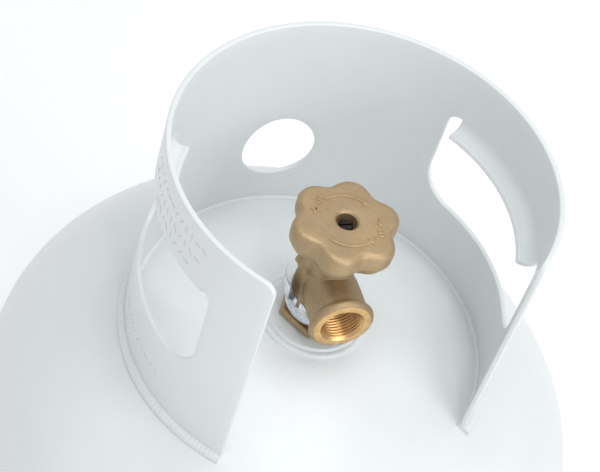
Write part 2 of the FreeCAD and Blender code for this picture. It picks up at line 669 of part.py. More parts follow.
def relief_poppet():
    s0 = NOZZLE_TIP + 0.7
    return along_relief([(0, s0 + 1.0), (5.5, s0 + 1.0), (5.5, s0), (7.0, s0), (7.0, s0 + 2.3),
                         (2.2, s0 + 2.3), (2.2, 28.6), (0, 28.6)])


def relief_disc():
    return along_relief([(0, NOZZLE_TIP + 0.02), (5.5, NOZZLE_TIP + 0.02),
                         (5.5, NOZZLE_TIP + 1.7), (0, NOZZLE_TIP + 1.7)])


def relief_spring():
    """Coil spring between the poppet and the retainer, wound in tilted half turns."""
    wire_r = 0.6
    coil_r = 4.6
    halves = 7
    s0 = NOZZLE_TIP + 3.0 + wire_r + 0.02
    rise = (RETAINER_IN - s0 - wire_r - 0.02) / halves
    coil = None
    for i in range(halves):
        side = 1 if i % 2 == 0 else -1
        start = V(side * coil_r, 0, i * rise)
        middle = V(0, 0, (i + 0.5) * rise)
        axis = V(side * rise / 2.0, 0, coil_r)
        disc = Part.Face(Part.Wire([Part.makeCircle(wire_r, start, V(0, 1, 0))]))
        half = disc.revolve(middle, axis, 180.0)
        coil = half if coil is None else coil.fuse(half)
    coil = coil.removeSplitter()
    coil.rotate(V(0, 0, 0), V(1, 0, 0), -90.0)
    coil.rotate(V(0, 0, 0), V(0, 0, 1), -RELIEF_TURN)
    coil.translate(RELIEF * s0 + V(0, 0, OUTLET_Z))
    return coil


def relief_cap():
    """Push-on dust cap over the relief port."""
    end = RELIEF_END + 1.6
    return along_relief([(0, RELIEF_END + 0.4), (RELIEF_R + 0.05, RELIEF_END + 0.4),
                         (RELIEF_R + 0.05, RELIEF_END - 3.5), (RELIEF_R + 1.2, RELIEF_END - 3.5),
                         (RELIEF_R + 1.2, end - 0.6), (RELIEF_R + 0.6, end), (0, end)])


# ---------------------------------------------------------------- level bleed
def bleed_screw():
    """Slotted screw with a cone tip closing the level bleed."""
    turn = BLEED_TURN
    screw = rod(2.5, 14.2, BLEED_END + 0.8, turn, BLEED_Z)
    tip = Part.makeCone(1.0, 2.5, 1.3, heading(turn) * 12.9 + V(0, 0, BLEED_Z), heading(turn))
    head = rod(3.9, BLEED_END + 0.3, BLEED_END + 3.4, turn, BLEED_Z)
    slot = Part.makeBox(1.0, 4.0, 12.0, V(-0.5, BLEED_END + 2.2, BLEED_Z - 6))
    slot.rotate(V(0, 0, BLEED_Z), V(0, 0, 1), -turn)
    return screw.fuse(tip).fuse(head).cut(slot).removeSplitter()


def level_tube():
    """Thin tube from the valve stem down to the eighty per cent line."""
    foot = heading(BLEED_TURN) * TUBE_AT
    return cyl(TUBE_R, TUBE_FOOT, 325.0, foot.x, foot.y).cut(
        cyl(TUBE_R - 0.5, TUBE_FOOT - 1, 326.0, foot.x, foot.y))


NODES = {
    "upper_shell": upper_shell,
    "lower_shell": lower_shell,
    "girth_weld": girth_weld,
    "valve_boss": valve_boss,
    "boss_weld": boss_weld,
    "collar": collar,
    "collar_weld": collar_weld,
    "foot_ring": foot_ring,
    "foot_ring_weld": foot_ring_weld,
    "valve_body": valve_body,
    "thread_sealant": thread_sealant,
    "neck_band": neck_band,
    "bonnet": bonnet,
    "bonnet_gasket": bonnet_gasket,
    "thrust_washer": thrust_washer,
    "spindle": spindle,
    "spindle_rings": spindle_rings,
    "lower_plug": lower_plug,
    "seat_disc": seat_disc,
    "handwheel": handwheel,
    "wheel_washer": wheel_washer,
    "wheel_screw": wheel_screw,
    "relief_retainer": relief_retainer,
    "relief_poppet": relief_poppet,
    "relief_disc": relief_disc,
    "relief_spring": relief_spring,
    "relief_cap": relief_cap,
    "bleed_screw": bleed_screw,
    "level_tube": level_tube,
}

for name, build in NODES.items():
    save(name, build())
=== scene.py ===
import json
import math

import bmesh
import bpy
from bpy.props import FloatProperty, FloatVectorProperty, IntProperty, PointerProperty
from mathutils import Matrix, Vector
from mathutils.geometry import delaunay_2d_cdt


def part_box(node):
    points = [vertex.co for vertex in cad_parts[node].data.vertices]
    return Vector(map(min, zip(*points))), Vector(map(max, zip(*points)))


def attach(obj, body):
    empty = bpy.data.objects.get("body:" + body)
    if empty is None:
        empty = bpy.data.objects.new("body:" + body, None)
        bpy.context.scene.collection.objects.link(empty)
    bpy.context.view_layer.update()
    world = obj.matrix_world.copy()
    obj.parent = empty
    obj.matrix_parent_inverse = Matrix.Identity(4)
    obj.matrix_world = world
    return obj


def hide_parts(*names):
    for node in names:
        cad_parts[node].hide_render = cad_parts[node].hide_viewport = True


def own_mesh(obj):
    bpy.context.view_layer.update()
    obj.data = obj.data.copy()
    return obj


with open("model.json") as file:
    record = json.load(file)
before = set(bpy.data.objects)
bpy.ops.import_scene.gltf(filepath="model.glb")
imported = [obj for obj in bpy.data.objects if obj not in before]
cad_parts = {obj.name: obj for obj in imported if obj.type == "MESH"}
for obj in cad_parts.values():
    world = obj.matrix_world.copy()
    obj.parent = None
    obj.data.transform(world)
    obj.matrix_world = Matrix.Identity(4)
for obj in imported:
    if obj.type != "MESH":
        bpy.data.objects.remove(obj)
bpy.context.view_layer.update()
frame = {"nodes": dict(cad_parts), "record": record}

bl_info = {
    "name": "Gas cylinder with guard collar",
    "version": (1, 0, 0),
    "blender": (4, 5, 0),
    "location": "3D View > Sidebar > Cylinder",
    "description": "Painted vessel, collar, welds and brass valve round the fixed frame",
    "category": "Object",
}

# Everything is in metres. Z is the cylinder's axis and the outlet faces -Y.
MM = 0.001


# ---- sizes read from the frame
def span(node, axis):
    low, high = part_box(node)
    return low[axis], high[axis]


VESSEL_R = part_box("upper_shell")[1].x
CROWN_TOP = span("upper_shell", 2)[1]
CROWN_BASE = span("lower_shell", 2)[0]
HEAD_DEPTH = 85 * MM
WALL = 3 * MM
SPIGOT_R = 19 * MM
SEAM_GAP = 3 * MM
TANGENT_TOP = CROWN_TOP - HEAD_DEPTH
TANGENT_BASE = CROWN_BASE + HEAD_DEPTH
SEAM_Z = sum(span("girth_weld", 2)) / 2
COLLAR_R = span("collar", 0)[1]
RIM_Z = span("collar", 2)[1]
SHEET = 3 * MM
MOUTH_HALF = math.radians(42.5)
GRIP_FROM, GRIP_TO = math.radians(60), math.radians(129)
GRIP_TOP, GRIP_FLOOR = 424 * MM, 362.5 * MM
GRIP_CORNER, GRIP_SHOULDER = 20 * MM, 7 * MM
BACK_HOLE_Z, BACK_HOLE_R = 363.5 * MM, 22 * MM
BOSS_R = span("valve_boss", 0)[1]
FOOT_R = 103 * MM
OUTLET_Z = 365 * MM
OUTLET_Y = -span("valve_body", 1)[0]
WHEEL_TOP = span("handwheel", 2)[1] - 0.5 * MM
WHEEL_FOOT = WHEEL_TOP - 17.5 * MM
HUB_FOOT = span("handwheel", 2)[0]


def head_z(radius):
    """Height of the top head's surface at a radius."""
    return TANGENT_TOP + HEAD_DEPTH * math.sqrt(1 - (radius / VESSEL_R) ** 2)


def base_z(radius):
    """Height of the bottom head's surface at a radius."""
    return TANGENT_BASE - HEAD_DEPTH * math.sqrt(1 - (radius / VESSEL_R) ** 2)


# ---- settings a user may change
def length_of(label, value, low, high, about):
    """Length setting, given in millimetres."""
    return FloatProperty(name=label, default=value * MM, min=low * MM, max=high * MM,
                         unit="LENGTH", description=about)


def angle_of(label, degrees, about):
    return FloatProperty(name=label, default=math.radians(degrees), subtype="ANGLE",
                         description=about)


def share_of(label, value, high, about):
    return FloatProperty(name=label, default=value, min=0, max=high, subtype="FACTOR",
                         description=about)


def colour_of(label, shade, about):
    return FloatVectorProperty(name=label, default=shade, size=3, min=0, max=1,
                               subtype="COLOR", description=about)


class PaintSettings(bpy.types.PropertyGroup):
    shade: colour_of("Paint colour", (0.79, 0.824, 0.834), "Enamel on vessel, collar and foot ring")
    orange_peel: share_of("Orange peel", 0.10, 1, "Strength of the sprayed enamel's fine ripple")


class BrassSettings(bpy.types.PropertyGroup):
    cast: colour_of("Cast brass", (0.49, 0.36, 0.21), "Matt skin of the handwheel and valve body")
    machined: colour_of("Machined brass", (0.80, 0.52, 0.23), "Cut faces and threads")


class WeldSettings(bpy.types.PropertyGroup):
    pitch: length_of("Ripple pitch", 2.4, 0.5, 10, "Distance between ripples along a bead")
    ripple: share_of("Ripple depth", 0.10, 0.5, "Share of the bead's size that the ripples take")
    seed: IntProperty(name="Seed", default=7, min=0, description="Fixed seed of the irregularity")


class CollarSettings(bpy.types.PropertyGroup):
    roll: length_of("Handhold roll", 7, 3, 12, "Radius that a handhold's top edge is rolled to")
    edge: length_of("Edge rounding", 0.9, 0.1, 1.4, "Rounding of the sheet's cut edges")
    corner: length_of("Mouth corner", 7, 1, 20, "Corner radius at the top of the open front")


class WheelSettings(bpy.types.PropertyGroup):
    lobes: IntProperty(name="Lobes", default=6, min=3, max=12, description="Finger lobes")
    reach: length_of("Lobe radius", 30.4, 20, 31, "Radius over the lobes")
    hollow: length_of("Hollow radius", 25.6, 15, 30, "Radius at the finger hollows")
    turn: angle_of("Turn", -54.5, "Direction of one lobe, from +X")


class ValveSettings(bpy.types.PropertyGroup):
    thread_pitch: length_of("Thread pitch", 25.4 / 14, 0.5, 4, "Pitch of the outlet thread")
    thread_minor: length_of("Thread minor radius", 10.3, 5, 12, "Radius over the crests")
    thread_major: length_of("Thread major radius", 11.25, 5, 12, "Radius at the roots")
    skin: length_of("Casting voxel", 0.45, 0.2, 1, "Cell size that the casting is smoothed at")


class StageSettings(bpy.types.PropertyGroup):
    azimuth: angle_of("Camera azimuth", -29.81, "0 looks along +Y")
    elevation: angle_of("Camera elevation", 46.92, "Above the horizon")
    roll: angle_of("Camera roll", 18.91, "Turn about the line of sight")
    distance: length_of("Camera distance", 837.3, 200, 5000, "From the middle of the collar's rim")
    aside: FloatVectorProperty(name="Camera offset", size=2, default=(-0.03409, -0.03644),
                               unit="LENGTH", description="Sideways and upwards, across the view")
    lens: FloatProperty(name="Lens", default=101.91, min=10, description="Length, 36 mm frame")


SETTINGS = {
    "cylinder_paint": PaintSettings,
    "cylinder_brass": BrassSettings,
    "cylinder_weld": WeldSettings,
    "cylinder_collar": CollarSettings,
    "cylinder_wheel": WheelSettings,
    "cylinder_valve": ValveSettings,
    "cylinder_stage": StageSettings,
}


# ---- nodes in few words
def node(tree, kind, sockets=None, **settings):
    """Adds a node, sets its settings, then fills or links its inputs by name or index."""
    made = tree.nodes.new(kind)
    for name, value in settings.items():
        setattr(made, name, value)
    for name, value in (sockets or {}).items():
        socket = made.inputs[name]
        if isinstance(value, bpy.types.NodeSocket):
            tree.links.new(value, socket)
        else:
            socket.default_value = value
    return made


def maths(tree, operation, *values):
    return node(tree, "ShaderNodeMath", dict(enumerate(values)), operation=operation).outputs[0]


def mapped(tree, value, low, high, from_low=0.0, from_high=1.0):
    sockets = {"Value": value, "From Min": from_low, "From Max": from_high,
               "To Min": low, "To Max": high}
    return node(tree, "ShaderNodeMapRange", sockets).outputs["Result"]


def times(tree, a, b):
    return maths(tree, "MULTIPLY", a, b)


def vectors(tree, operation, *values):
    return node(tree, "ShaderNodeVectorMath", dict(enumerate(values)),
                operation=operation).outputs


def geo(tree, kind, sockets=None, output=0, **settings):
    """Geometry node, by the end of its type's name; gives back one output."""
    return node(tree, "GeometryNode" + kind, sockets, **settings).outputs[output]


def mixed(tree, factor, a, b):
    return node(tree, "ShaderNodeMix", {0: factor, 6: a, 7: b}, data_type="RGBA").outputs[2]


def speckle(tree, coords, scale, detail=3.0, rough=0.55):
    sockets = {"Vector": coords, "Scale": scale, "Detail": detail, "Roughness": rough}
    return node(tree, "ShaderNodeTexNoise", sockets).outputs["Fac"]


def edge_mask(tree, coords, width, patch_scale, low, high):
    """Patchy mask along convex and concave edges."""
    rounded = node(tree, "ShaderNodeBevel", {"Radius": width}, samples=4).outputs[0]
    flat = node(tree, "ShaderNodeNewGeometry").outputs["Normal"]
    bend = maths(tree, "SUBTRACT", 1.0, vectors(tree, "DOT_PRODUCT", rounded, flat)["Value"])
    patch = speckle(tree, coords, patch_scale, 4.0)
    return times(tree, mapped(tree, bend, 0.0, 1.0, low, high),
                 mapped(tree, patch, 0.0, 1.0, 0.42, 0.62))


def new_finish(name):
    """A material with its shader, its tree and Object coordinates."""
    finish = bpy.data.materials.new(name)
    finish.use_nodes = True
    tree = finish.node_tree
    shader = tree.nodes["Principled BSDF"]
    coords = node(tree, "ShaderNodeTexCoord").outputs["Object"]
    return finish, tree, shader, coords


def bump(tree, shader, height, strength, distance):
    made = node(tree, "ShaderNodeBump", {"Height": height, "Strength": strength,
                                         "Distance": distance})
    tree.links.new(made.outputs[0], shader.inputs["Normal"])


def rgba(colour, gain=1.0):
    return tuple(min(1.0, c * gain) for c in colour[:3]) + (1.0,)


# ---- finishes
PRIMER = (0.42, 0.43, 0.43, 1.0)
RUBBED_BRASS = (0.78, 0.55, 0.27, 1.0)


def toned(tree, factor, shade, low, high, start=0.3, end=0.7):
    """Two strengths of one shade, mixed by a pattern."""
    return mixed(tree, mapped(tree, factor, 0.0, 1.0, start, end), rgba(shade, low),
                 rgba(shade, high))


def rubbed(tree, coords, base, width, patch_scale, share, colour, low=0.03, high=0.30):
    """Bare material along the edges; gives back the colour and the mask."""
    worn = times(tree, share, edge_mask(tree, coords, width, patch_scale, low, high))
    return mixed(tree, worn, base, colour), worn


def dressed(tree, shader, base, roughness):
    tree.links.new(base, shader.inputs["Base Color"])
    tree.links.new(roughness, shader.inputs["Roughness"])


def enamel(name, shade, peel, wear=0.35):
    """Sprayed enamel: faint clouding, orange peel, primer showing at worn edges."""
    finish, tree, shader, coords = new_finish(name)
    base = toned(tree, speckle(tree, coords, 9.0, 4.0), shade, 0.965, 1.02)
    grime = mapped(tree, speckle(tree, coords, 55.0, 6.0, 0.7), 0.0, 0.10, 0.55, 0.8)
    base = mixed(tree, grime, base, rgba(shade, 0.72))
    base, worn = rubbed(tree, coords, base, 0.9 * MM, 160.0, wear, PRIMER, 0.05, 0.35)
    gloss = mapped(tree, speckle(tree, coords, 26.0), 0.30, 0.44, 0.3, 0.7)
    dressed(tree, shader, base, maths(tree, "ADD", gloss, times(tree, worn, 0.3)))
    shader.inputs["Coat Weight"].default_value = 0.25
    shader.inputs["Coat Roughness"].default_value = 0.22
    bump(tree, shader, speckle(tree, coords, 420.0, 2.0), peel, 0.35 * MM)
    return finish


RUBBED_SHINE = 0.18 / 0.55


def cast_metal(name, shade, dark=0.62):
    """Sand-cast skin: grain, pits, darker hollows and rubbed edges."""
    finish, tree, shader, coords = new_finish(name)
    base = toned(tree, speckle(tree, coords, 60.0, 5.0, 0.6), shade, 0.86, 1.10)
    grain = speckle(tree, coords, 900.0, 4.0, 0.7)
    base = mixed(tree, mapped(tree, grain, 0.0, 0.35, 0.45, 0.75), base, rgba(shade, dark))
    base, worn = rubbed(tree, coords, base, 0.7 * MM, 300.0, 0.55, RUBBED_BRASS)
    shader.inputs["Metallic"].default_value = 0.82
    rough = mapped(tree, grain, 0.46, 0.62, 0.3, 0.7)
    dressed(tree, shader, base, maths(tree, "SUBTRACT", rough, times(tree, worn, RUBBED_SHINE)))
    pits = maths(tree, "ADD", times(tree, speckle(tree, coords, 380.0, 2.0), 1.5),
                 speckle(tree, coords, 1400.0, 2.0))
    bump(tree, shader, pits, 0.35, 0.22 * MM)
    return finish


def turned_metal(name, shade, centre, axis, rough=0.24, line=0.14 * MM):
    """Lathe-cut metal: fine rings about an axis, faint stains."""
    finish, tree, shader, coords = new_finish(name)
    place = vectors(tree, "SUBTRACT", coords, tuple(centre))[0]
    along_axis = vectors(tree, "DOT_PRODUCT", place, tuple(axis))["Value"]
    whole = vectors(tree, "LENGTH", place)["Value"]
    square = maths(tree, "SUBTRACT", times(tree, whole, whole),
                   times(tree, along_axis, along_axis))
    radius = maths(tree, "SQRT", maths(tree, "MAXIMUM", square, 0.0))
    rings = times(tree, maths(tree, "ADD", radius, along_axis), 2 * math.pi / line)
    stain = speckle(tree, coords, 120.0, 5.0, 0.65)
    base = toned(tree, stain, shade, 1.06, 0.72, 0.35, 0.75)
    base = rubbed(tree, coords, base, 0.4 * MM, 400.0, 0.4, rgba(shade, 1.35))[0]
    shader.inputs["Metallic"].default_value = 1.0
    dressed(tree, shader, base, mapped(tree, stain, rough, rough + 0.16, 0.3, 0.75))
    bump(tree, shader, maths(tree, "SINE", rings), 0.10, 0.05 * MM)
    return finish


def dull_solid(name, shade, rough=0.6):
    """Rubber or plastic: fine grain, slight mottling, paler worn edges."""
    finish, tree, shader, coords = new_finish(name)
    cloud = speckle(tree, coords, 90.0, 4.0)
    base = toned(tree, cloud, shade, 0.85, 1.12)
    base = rubbed(tree, coords, base, 0.4 * MM, 300.0, 0.3, (0.4, 0.4, 0.4, 1.0))[0]
    dressed(tree, shader, base, mapped(tree, cloud, rough - 0.08, rough + 0.08, 0.3, 0.7))
    bump(tree, shader, speckle(tree, coords, 1000.0, 2.0), 0.2, 0.08 * MM)
    return finish


def drawn_metal(name, shade, rough=0.25):
    """Bright rolled strip: streaks along the strip, small scuffs."""
    finish, tree, shader, coords = new_finish(name)
    squash = node(tree, "ShaderNodeMapping", {"Vector": coords, "Scale": (1.0, 1.0, 9.0)})
    streak = speckle(tree, squash.outputs[0], 260.0, 4.0, 0.6)
    base = toned(tree, speckle(tree, coords, 150.0, 4.0), shade, 0.80, 1.12, 0.35, 0.65)
    base = rubbed(tree, coords, base, 0.3 * MM, 400.0, 0.4, (0.9, 0.9, 0.9, 1.0))[0]
    shader.inputs["Metallic"].default_value = 1.0
    dressed(tree, shader, base, mapped(tree, streak, rough - 0.08, rough + 0.14, 0.3, 0.7))
    bump(tree, shader, streak, 0.25, 0.06 * MM)
    return finish


def make_finishes(scene):
    """All finishes, by the record's slot names and a few of their own."""
    brass = scene.cylinder_brass
    paint = scene.cylinder_paint
    outlet = (0.0, 0.0, OUTLET_Z)
    centre, up, front = (0.0, 0.0, 0.0), (0.0, 0.0, 1.0), (0.0, -1.0, 0.0)
    return {
        "paint": enamel("white_enamel", paint.shade, paint.orange_peel),
        "weld_paint": enamel("white_enamel_on_weld", paint.shade, paint.orange_peel * 2, 0.15),
        # Painted shade: the marks' enamel is 0.88 of the paint colour, so the raised strokes read
        # grey as their relief would under light.
        "mark_paint": enamel("white_enamel_on_marks", tuple(c * 0.88 for c in paint.shade),
                             paint.orange_peel),
        "brass_cast": cast_metal("cast_brass", brass.cast),
        "wheel_cast": cast_metal("cast_brass_wheel", tuple(c * 1.06 for c in brass.cast), 0.7),
        "outlet_face": turned_metal("machined_brass_outlet", brass.machined, outlet, front),
        "thread": turned_metal("cut_brass_thread", (0.72, 0.43, 0.18), outlet, front, 0.26,
                               0.11 * MM),
        "brass_machined": turned_metal("machined_brass", brass.machined, centre, up, 0.30),
        "bright_steel": drawn_metal("bright_strip", (0.80, 0.83, 0.87)),
        # Near-black steel is partly real and partly painted shade: it is kept this dark so the
        # screw in the handwheel's recess reads as that recess's shade.
        "dark_steel": turned_metal("dark_steel", (0.05, 0.043, 0.036), centre, up, 0.45),
        "rubber": dull_solid("black_rubber", (0.02, 0.02, 0.02), 0.65),
        "nylon": dull_solid("nylon", (0.75, 0.73, 0.66), 0.45),
        "sealant": dull_solid("thread_sealant", (0.60, 0.52, 0.40), 0.7),
        "cap_plastic": dull_solid("cap_plastic", (0.03, 0.03, 0.03), 0.5),
    }


FINISH = {}


# ---- mesh helpers
def ring_point(radius, angle, z):
    return Vector((radius * math.cos(angle), radius * math.sin(angle), z))


def softened(corners, steps):
    """Closed 2D loop of (x, y, radius) corners, each rounded by its own radius."""
    loop = []
    count = len(corners)
    for i, (x, y, r) in enumerate(corners):
        here = Vector((x, y))
        back = Vector(corners[i - 1][:2]) - here
        ahead = Vector(corners[(i + 1) % count][:2]) - here
        bend = back.angle(ahead, math.pi)
        if r <= 0 or bend > math.radians(170):
            loop.append(here)
            continue
        cut = min(r / math.tan(bend / 2), back.length * 0.45, ahead.length * 0.45)
        a, b = here + back.normalized() * cut, here + ahead.normalized() * cut
        for k in range(steps + 1):
            t = k / steps
            loop.append((1 - t) ** 2 * a + 2 * t * (1 - t) * here + t ** 2 * b)
    return loop


def grid_mesh(rows, close_rows=True, close_columns=True):
    """bmesh from a grid of points; both directions may close on themselves."""
    made = bmesh.new()
    grid = [[made.verts.new(p) for p in row] for row in rows]
    high, wide = len(grid), len(grid[0])
    for i in range(high if close_rows else high - 1):
        for j in range(wide if close_columns else wide - 1):
            made.faces.new((grid[i][j], grid[i][(j + 1) % wide],
                            grid[(i + 1) % high][(j + 1) % wide], grid[(i + 1) % high][j]))
    return made


def capped(made, sides):
    """Closes both ends of an open tube whose rows have that many sides."""
    made.verts.ensure_lookup_table()
    made.faces.new(made.verts[:sides])
    made.faces.new(made.verts[-sides:])
    return made


def lathe(loop, segments):
    """Closed (r, z) loop turned about Z."""
    rows = [[ring_point(r, 2 * math.pi * i / segments, z) for r, z in loop]
            for i in range(segments)]
    made = grid_mesh(rows)
    bmesh.ops.remove_doubles(made, verts=made.verts, dist=1e-7)
    bmesh.ops.dissolve_degenerate(made, dist=1e-8, edges=made.edges)
    return made


def finished(name, mesh, finish, body, slot, *nodes, smooth=35):
    """Object from a bmesh or a mesh, riding on its body in place of CAD nodes."""
    if isinstance(mesh, bmesh.types.BMesh):
        bmesh.ops.recalc_face_normals(mesh, faces=mesh.faces)
        data = bpy.data.meshes.new(name)
        mesh.to_mesh(data)
        mesh.free()
    else:
        data = mesh
        data.name = name
    piece = bpy.data.objects.new(name, data)
    bpy.context.scene.collection.objects.link(piece)
    data.materials.clear()
    data.materials.append(FINISH[finish])
    data.shade_smooth()
    if smooth:
        data.set_sharp_from_angle(angle=math.radians(smooth))
    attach(piece, body)
    if nodes:
        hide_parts(*nodes)
    return piece


def modified(piece, kind, name, **settings):
    made = piece.modifiers.new(name, kind)
    for key, value in settings.items():
        setattr(made, key, value)
    return made


def baked(piece):
    """The piece's evaluated shape as a plain mesh, its modifiers gone."""
    bpy.context.view_layer.update()
    seen = piece.evaluated_get(bpy.context.evaluated_depsgraph_get())
    mesh = bpy.data.meshes.new_from_object(seen)
    bpy.data.objects.remove(piece)
    return mesh


def loose(name, mesh):
    """Temporary object from a bmesh, to carry modifiers."""
    data = bpy.data.meshes.new(name)
    mesh.to_mesh(data)
    mesh.free()
    piece = bpy.data.objects.new(name, data)
    bpy.context.scene.collection.objects.link(piece)
    return piece


def absorb(whole, part):
    """Adds a bmesh or a mesh to a bmesh and lets it go."""
    data = part
    if isinstance(part, bmesh.types.BMesh):
        data = bpy.data.meshes.new("part")
        part.to_mesh(data)
        part.free()
    whole.from_mesh(data)
    bpy.data.meshes.remove(data)


# ---- geometry node trees
def new_tree(name, given, made):
    """Tree with its carrier, its (name, kind, default) inputs, a finish and one output."""
    tree = bpy.data.node_groups.new(name, "GeometryNodeTree")
    tree.interface.new_socket("Carrier", in_out="INPUT", socket_type="NodeSocketGeometry")
    for label, kind, default in given:
        socket = tree.interface.new_socket(label, in_out="INPUT", socket_type="NodeSocket" + kind)
        socket.default_value = default
    tree.interface.new_socket("Finish", in_out="INPUT", socket_type="NodeSocketMaterial")
    tree.interface.new_socket(made, in_out="OUTPUT", socket_type="NodeSocketGeometry")
    return tree, node(tree, "NodeGroupInput").outputs


def closing(tree, shape, finish):
    """Real geometry with its finish, sent to the tree's output."""
    real = node(tree, "GeometryNodeRealizeInstances", {"Geometry": shape}).outputs[0]
    done = node(tree, "GeometryNodeSetMaterial", {"Geometry": real, "Material": finish})
    node(tree, "NodeGroupOutput", {0: done.outputs[0]})
    return tree


def weld_tree():
    """Path in, weld bead out: resampled, rippled, swept with an uneven round section."""
    tree, given = new_tree("weld_run", (
        ("Bead Radius", "Float", 3 * MM), ("Ripple Pitch", "Float", 2.4 * MM),
        ("Ripple Depth", "Float", 0.1), ("Section Sides", "Int", 14), ("Seed", "Int", 7)),
        "Bead")
    step = maths(tree, "DIVIDE", given["Ripple Pitch"], 5.0)
    path = geo(tree, "MeshToCurve", {"Mesh": given["Carrier"]})
    path = geo(tree, "ResampleCurve", {"Curve": path, "Length": step}, mode="LENGTH")
    run = geo(tree, "SplineParameter", output="Length")
    place = geo(tree, "InputPosition")
    wander = node(tree, "ShaderNodeTexNoise",
                  {"Vector": place, "W": given["Seed"], "Scale": 45.0, "Detail": 2.0},
                  noise_dimensions="4D").outputs["Fac"]
    phase = maths(tree, "ADD", maths(tree, "DIVIDE", run, given["Ripple Pitch"]),
                  times(tree, wander, 1.6))
    saw = maths(tree, "FRACT", phase)
    crest = maths(tree, "POWER", saw, 0.45)
    dip = times(tree, given["Ripple Depth"], maths(tree, "SUBTRACT", crest, 1.0))
    sway = mapped(tree, wander, -0.10, 0.10, 0.25, 0.75)
    size = maths(tree, "ADD", maths(tree, "ADD", 1.0, dip), sway)
    size = times(tree, size, given["Bead Radius"])
    path = geo(tree, "SetCurveRadius", {"Curve": path, "Radius": size})
    section = geo(tree, "CurvePrimitiveCircle",
                  {"Resolution": given["Section Sides"], "Radius": 1.0}, "Curve")
    bead = geo(tree, "CurveToMesh", {"Curve": path, "Profile Curve": section, "Fill Caps": True,
                                     "Scale": geo(tree, "InputRadius")})
    return closing(tree, bead, given["Finish"])


def grown(name, mesh, tree, **inputs):
    """Runs a tree on a mesh and gives back the plain mesh it makes."""
    carrier = loose(name, mesh)
    modifier = carrier.modifiers.new(name, "NODES")
    modifier.node_group = tree
    for item in tree.interface.items_tree:
        key = item.name.replace(" ", "_").lower()
        if item.item_type == "SOCKET" and item.in_out == "INPUT" and key in inputs:
            modifier[item.identifier] = inputs[key]
    return baked(carrier)


def path_mesh(points, closed):
    made = bmesh.new()
    verts = [made.verts.new(p) for p in points]
    for a, b in zip(verts, verts[1:]):
        made.edges.new((a, b))
    if closed:
        made.edges.new((verts[-1], verts[0]))
    return made


def arc_points(radius, z, start, end, count=180):
    return [ring_point(radius, start + (end - start) * i / count, z) for i in range(count + 1)]


def weld_piece(scene, name, body, nodes, *paths):
    """One bead, or several of one joint, as a single plain piece."""
    weld = scene.cylinder_weld
    tree = bpy.data.node_groups.get("weld_run") or weld_tree()
    whole = bmesh.new()
    for points, closed, radius in paths:
        absorb(whole, grown(name, path_mesh(points, closed), tree, bead_radius=radius,
                            ripple_pitch=weld.pitch, ripple_depth=weld.ripple,
                            section_sides=14, seed=weld.seed, finish=FINISH["weld_paint"]))
    return finished(name, whole, "weld_paint", body, "paint", *nodes, smooth=0)


# ---- vessel
def head_curve(radius, depth, start, end, steps=40):
    """(r, rise) along a dished head, from one radius to another, evenly in angle."""
    a, b = math.acos(start / radius), math.acos(end / radius)
    return [(radius * math.cos(a + (b - a) * i / steps), depth * math.sin(a + (b - a) * i / steps))
            for i in range(steps + 1)]


class CYLINDER_OT_vessel(bpy.types.Operator):
    """Builds the two drawn halves of the vessel as closed walls"""
    bl_idname = "cylinder.vessel"
    bl_label = "Vessel halves"

    def execute(self, context):
        inside = VESSEL_R - WALL

        def head(tangent, way, end):
            outer = head_curve(VESSEL_R, HEAD_DEPTH, VESSEL_R, end)
            inner = head_curve(inside, HEAD_DEPTH - WALL, inside, end)
            return [(r, tangent + way * h) for r, h in outer + inner[::-1]]

        seam = SEAM_Z + SEAM_GAP / 2
        top = [(VESSEL_R, seam)] + head(TANGENT_TOP, 1, SPIGOT_R) + [(inside, seam)]
        finished("vessel_top", lathe(top, 256), "paint", "cylinder", "paint",
                 "upper_shell")
        seam = SEAM_Z - SEAM_GAP / 2
        step = inside - WALL
        base = head(TANGENT_BASE, -1, 0) + [
            (inside, seam - 12 * MM), (step, seam - 9 * MM), (step, SEAM_Z + 14 * MM),
            (inside, SEAM_Z + 14 * MM), (inside, seam), (VESSEL_R, seam)]
        finished("vessel_bottom", lathe(base, 256), "paint", "cylinder", "paint",
                 "lower_shell")
        return {"FINISHED"}


class CYLINDER_OT_welds(bpy.types.Operator):
    """Lays the rippled weld beads of the vessel, boss, collar and foot ring"""
    bl_idname = "cylinder.welds"
    bl_label = "Weld beads"

    def execute(self, context):
        scene = context.scene
        start, end = MOUTH_HALF - math.pi / 2, 1.5 * math.pi - MOUTH_HALF
        outside, inside = COLLAR_R + 0.6 * MM, COLLAR_R - SHEET - 0.2 * MM
        turn = 2 * math.pi * 179 / 180
        weld_piece(scene, "girth_bead", "cylinder", ["girth_weld"],
                   (arc_points(VESSEL_R - 2.2 * MM, SEAM_Z, 0, turn, 179), True, 3.6 * MM))
        weld_piece(scene, "collar_bead", "cylinder", ["collar_weld"],
                   (arc_points(outside, head_z(outside) + 0.4 * MM, start, end), False, 3.1 * MM),
                   (arc_points(inside, head_z(inside) + 0.1 * MM, start, end), False, 1.7 * MM))
        ring = BOSS_R + 1.2 * MM
        weld_piece(scene, "boss_bead", "cylinder", ["boss_weld"],
                   (arc_points(ring, head_z(ring) - 0.3 * MM, 0, turn, 179), True, 2.4 * MM))
        ring = FOOT_R + 0.6 * MM
        weld_piece(scene, "foot_bead", "cylinder", ["foot_ring_weld"],
                   (arc_points(ring, base_z(ring) - 0.4 * MM, 0, turn, 179), True, 3.1 * MM))
        return {"FINISHED"}


# ---- guard collar
def evenly(a, b, step):
    count = max(1, math.ceil(abs(b - a) / step))
    return [a + (b - a) * i / count for i in range(count + 1)]


def rounding(a, z, radius, start, end, steps):
    """Arc on the unrolled sheet about (front angle, z), between two directions in degrees."""
    turns = (math.radians(start + (end - start) * i / steps) for i in range(steps + 1))
    return [(a + radius / COLLAR_R * math.cos(t), z + radius * math.sin(t)) for t in turns]


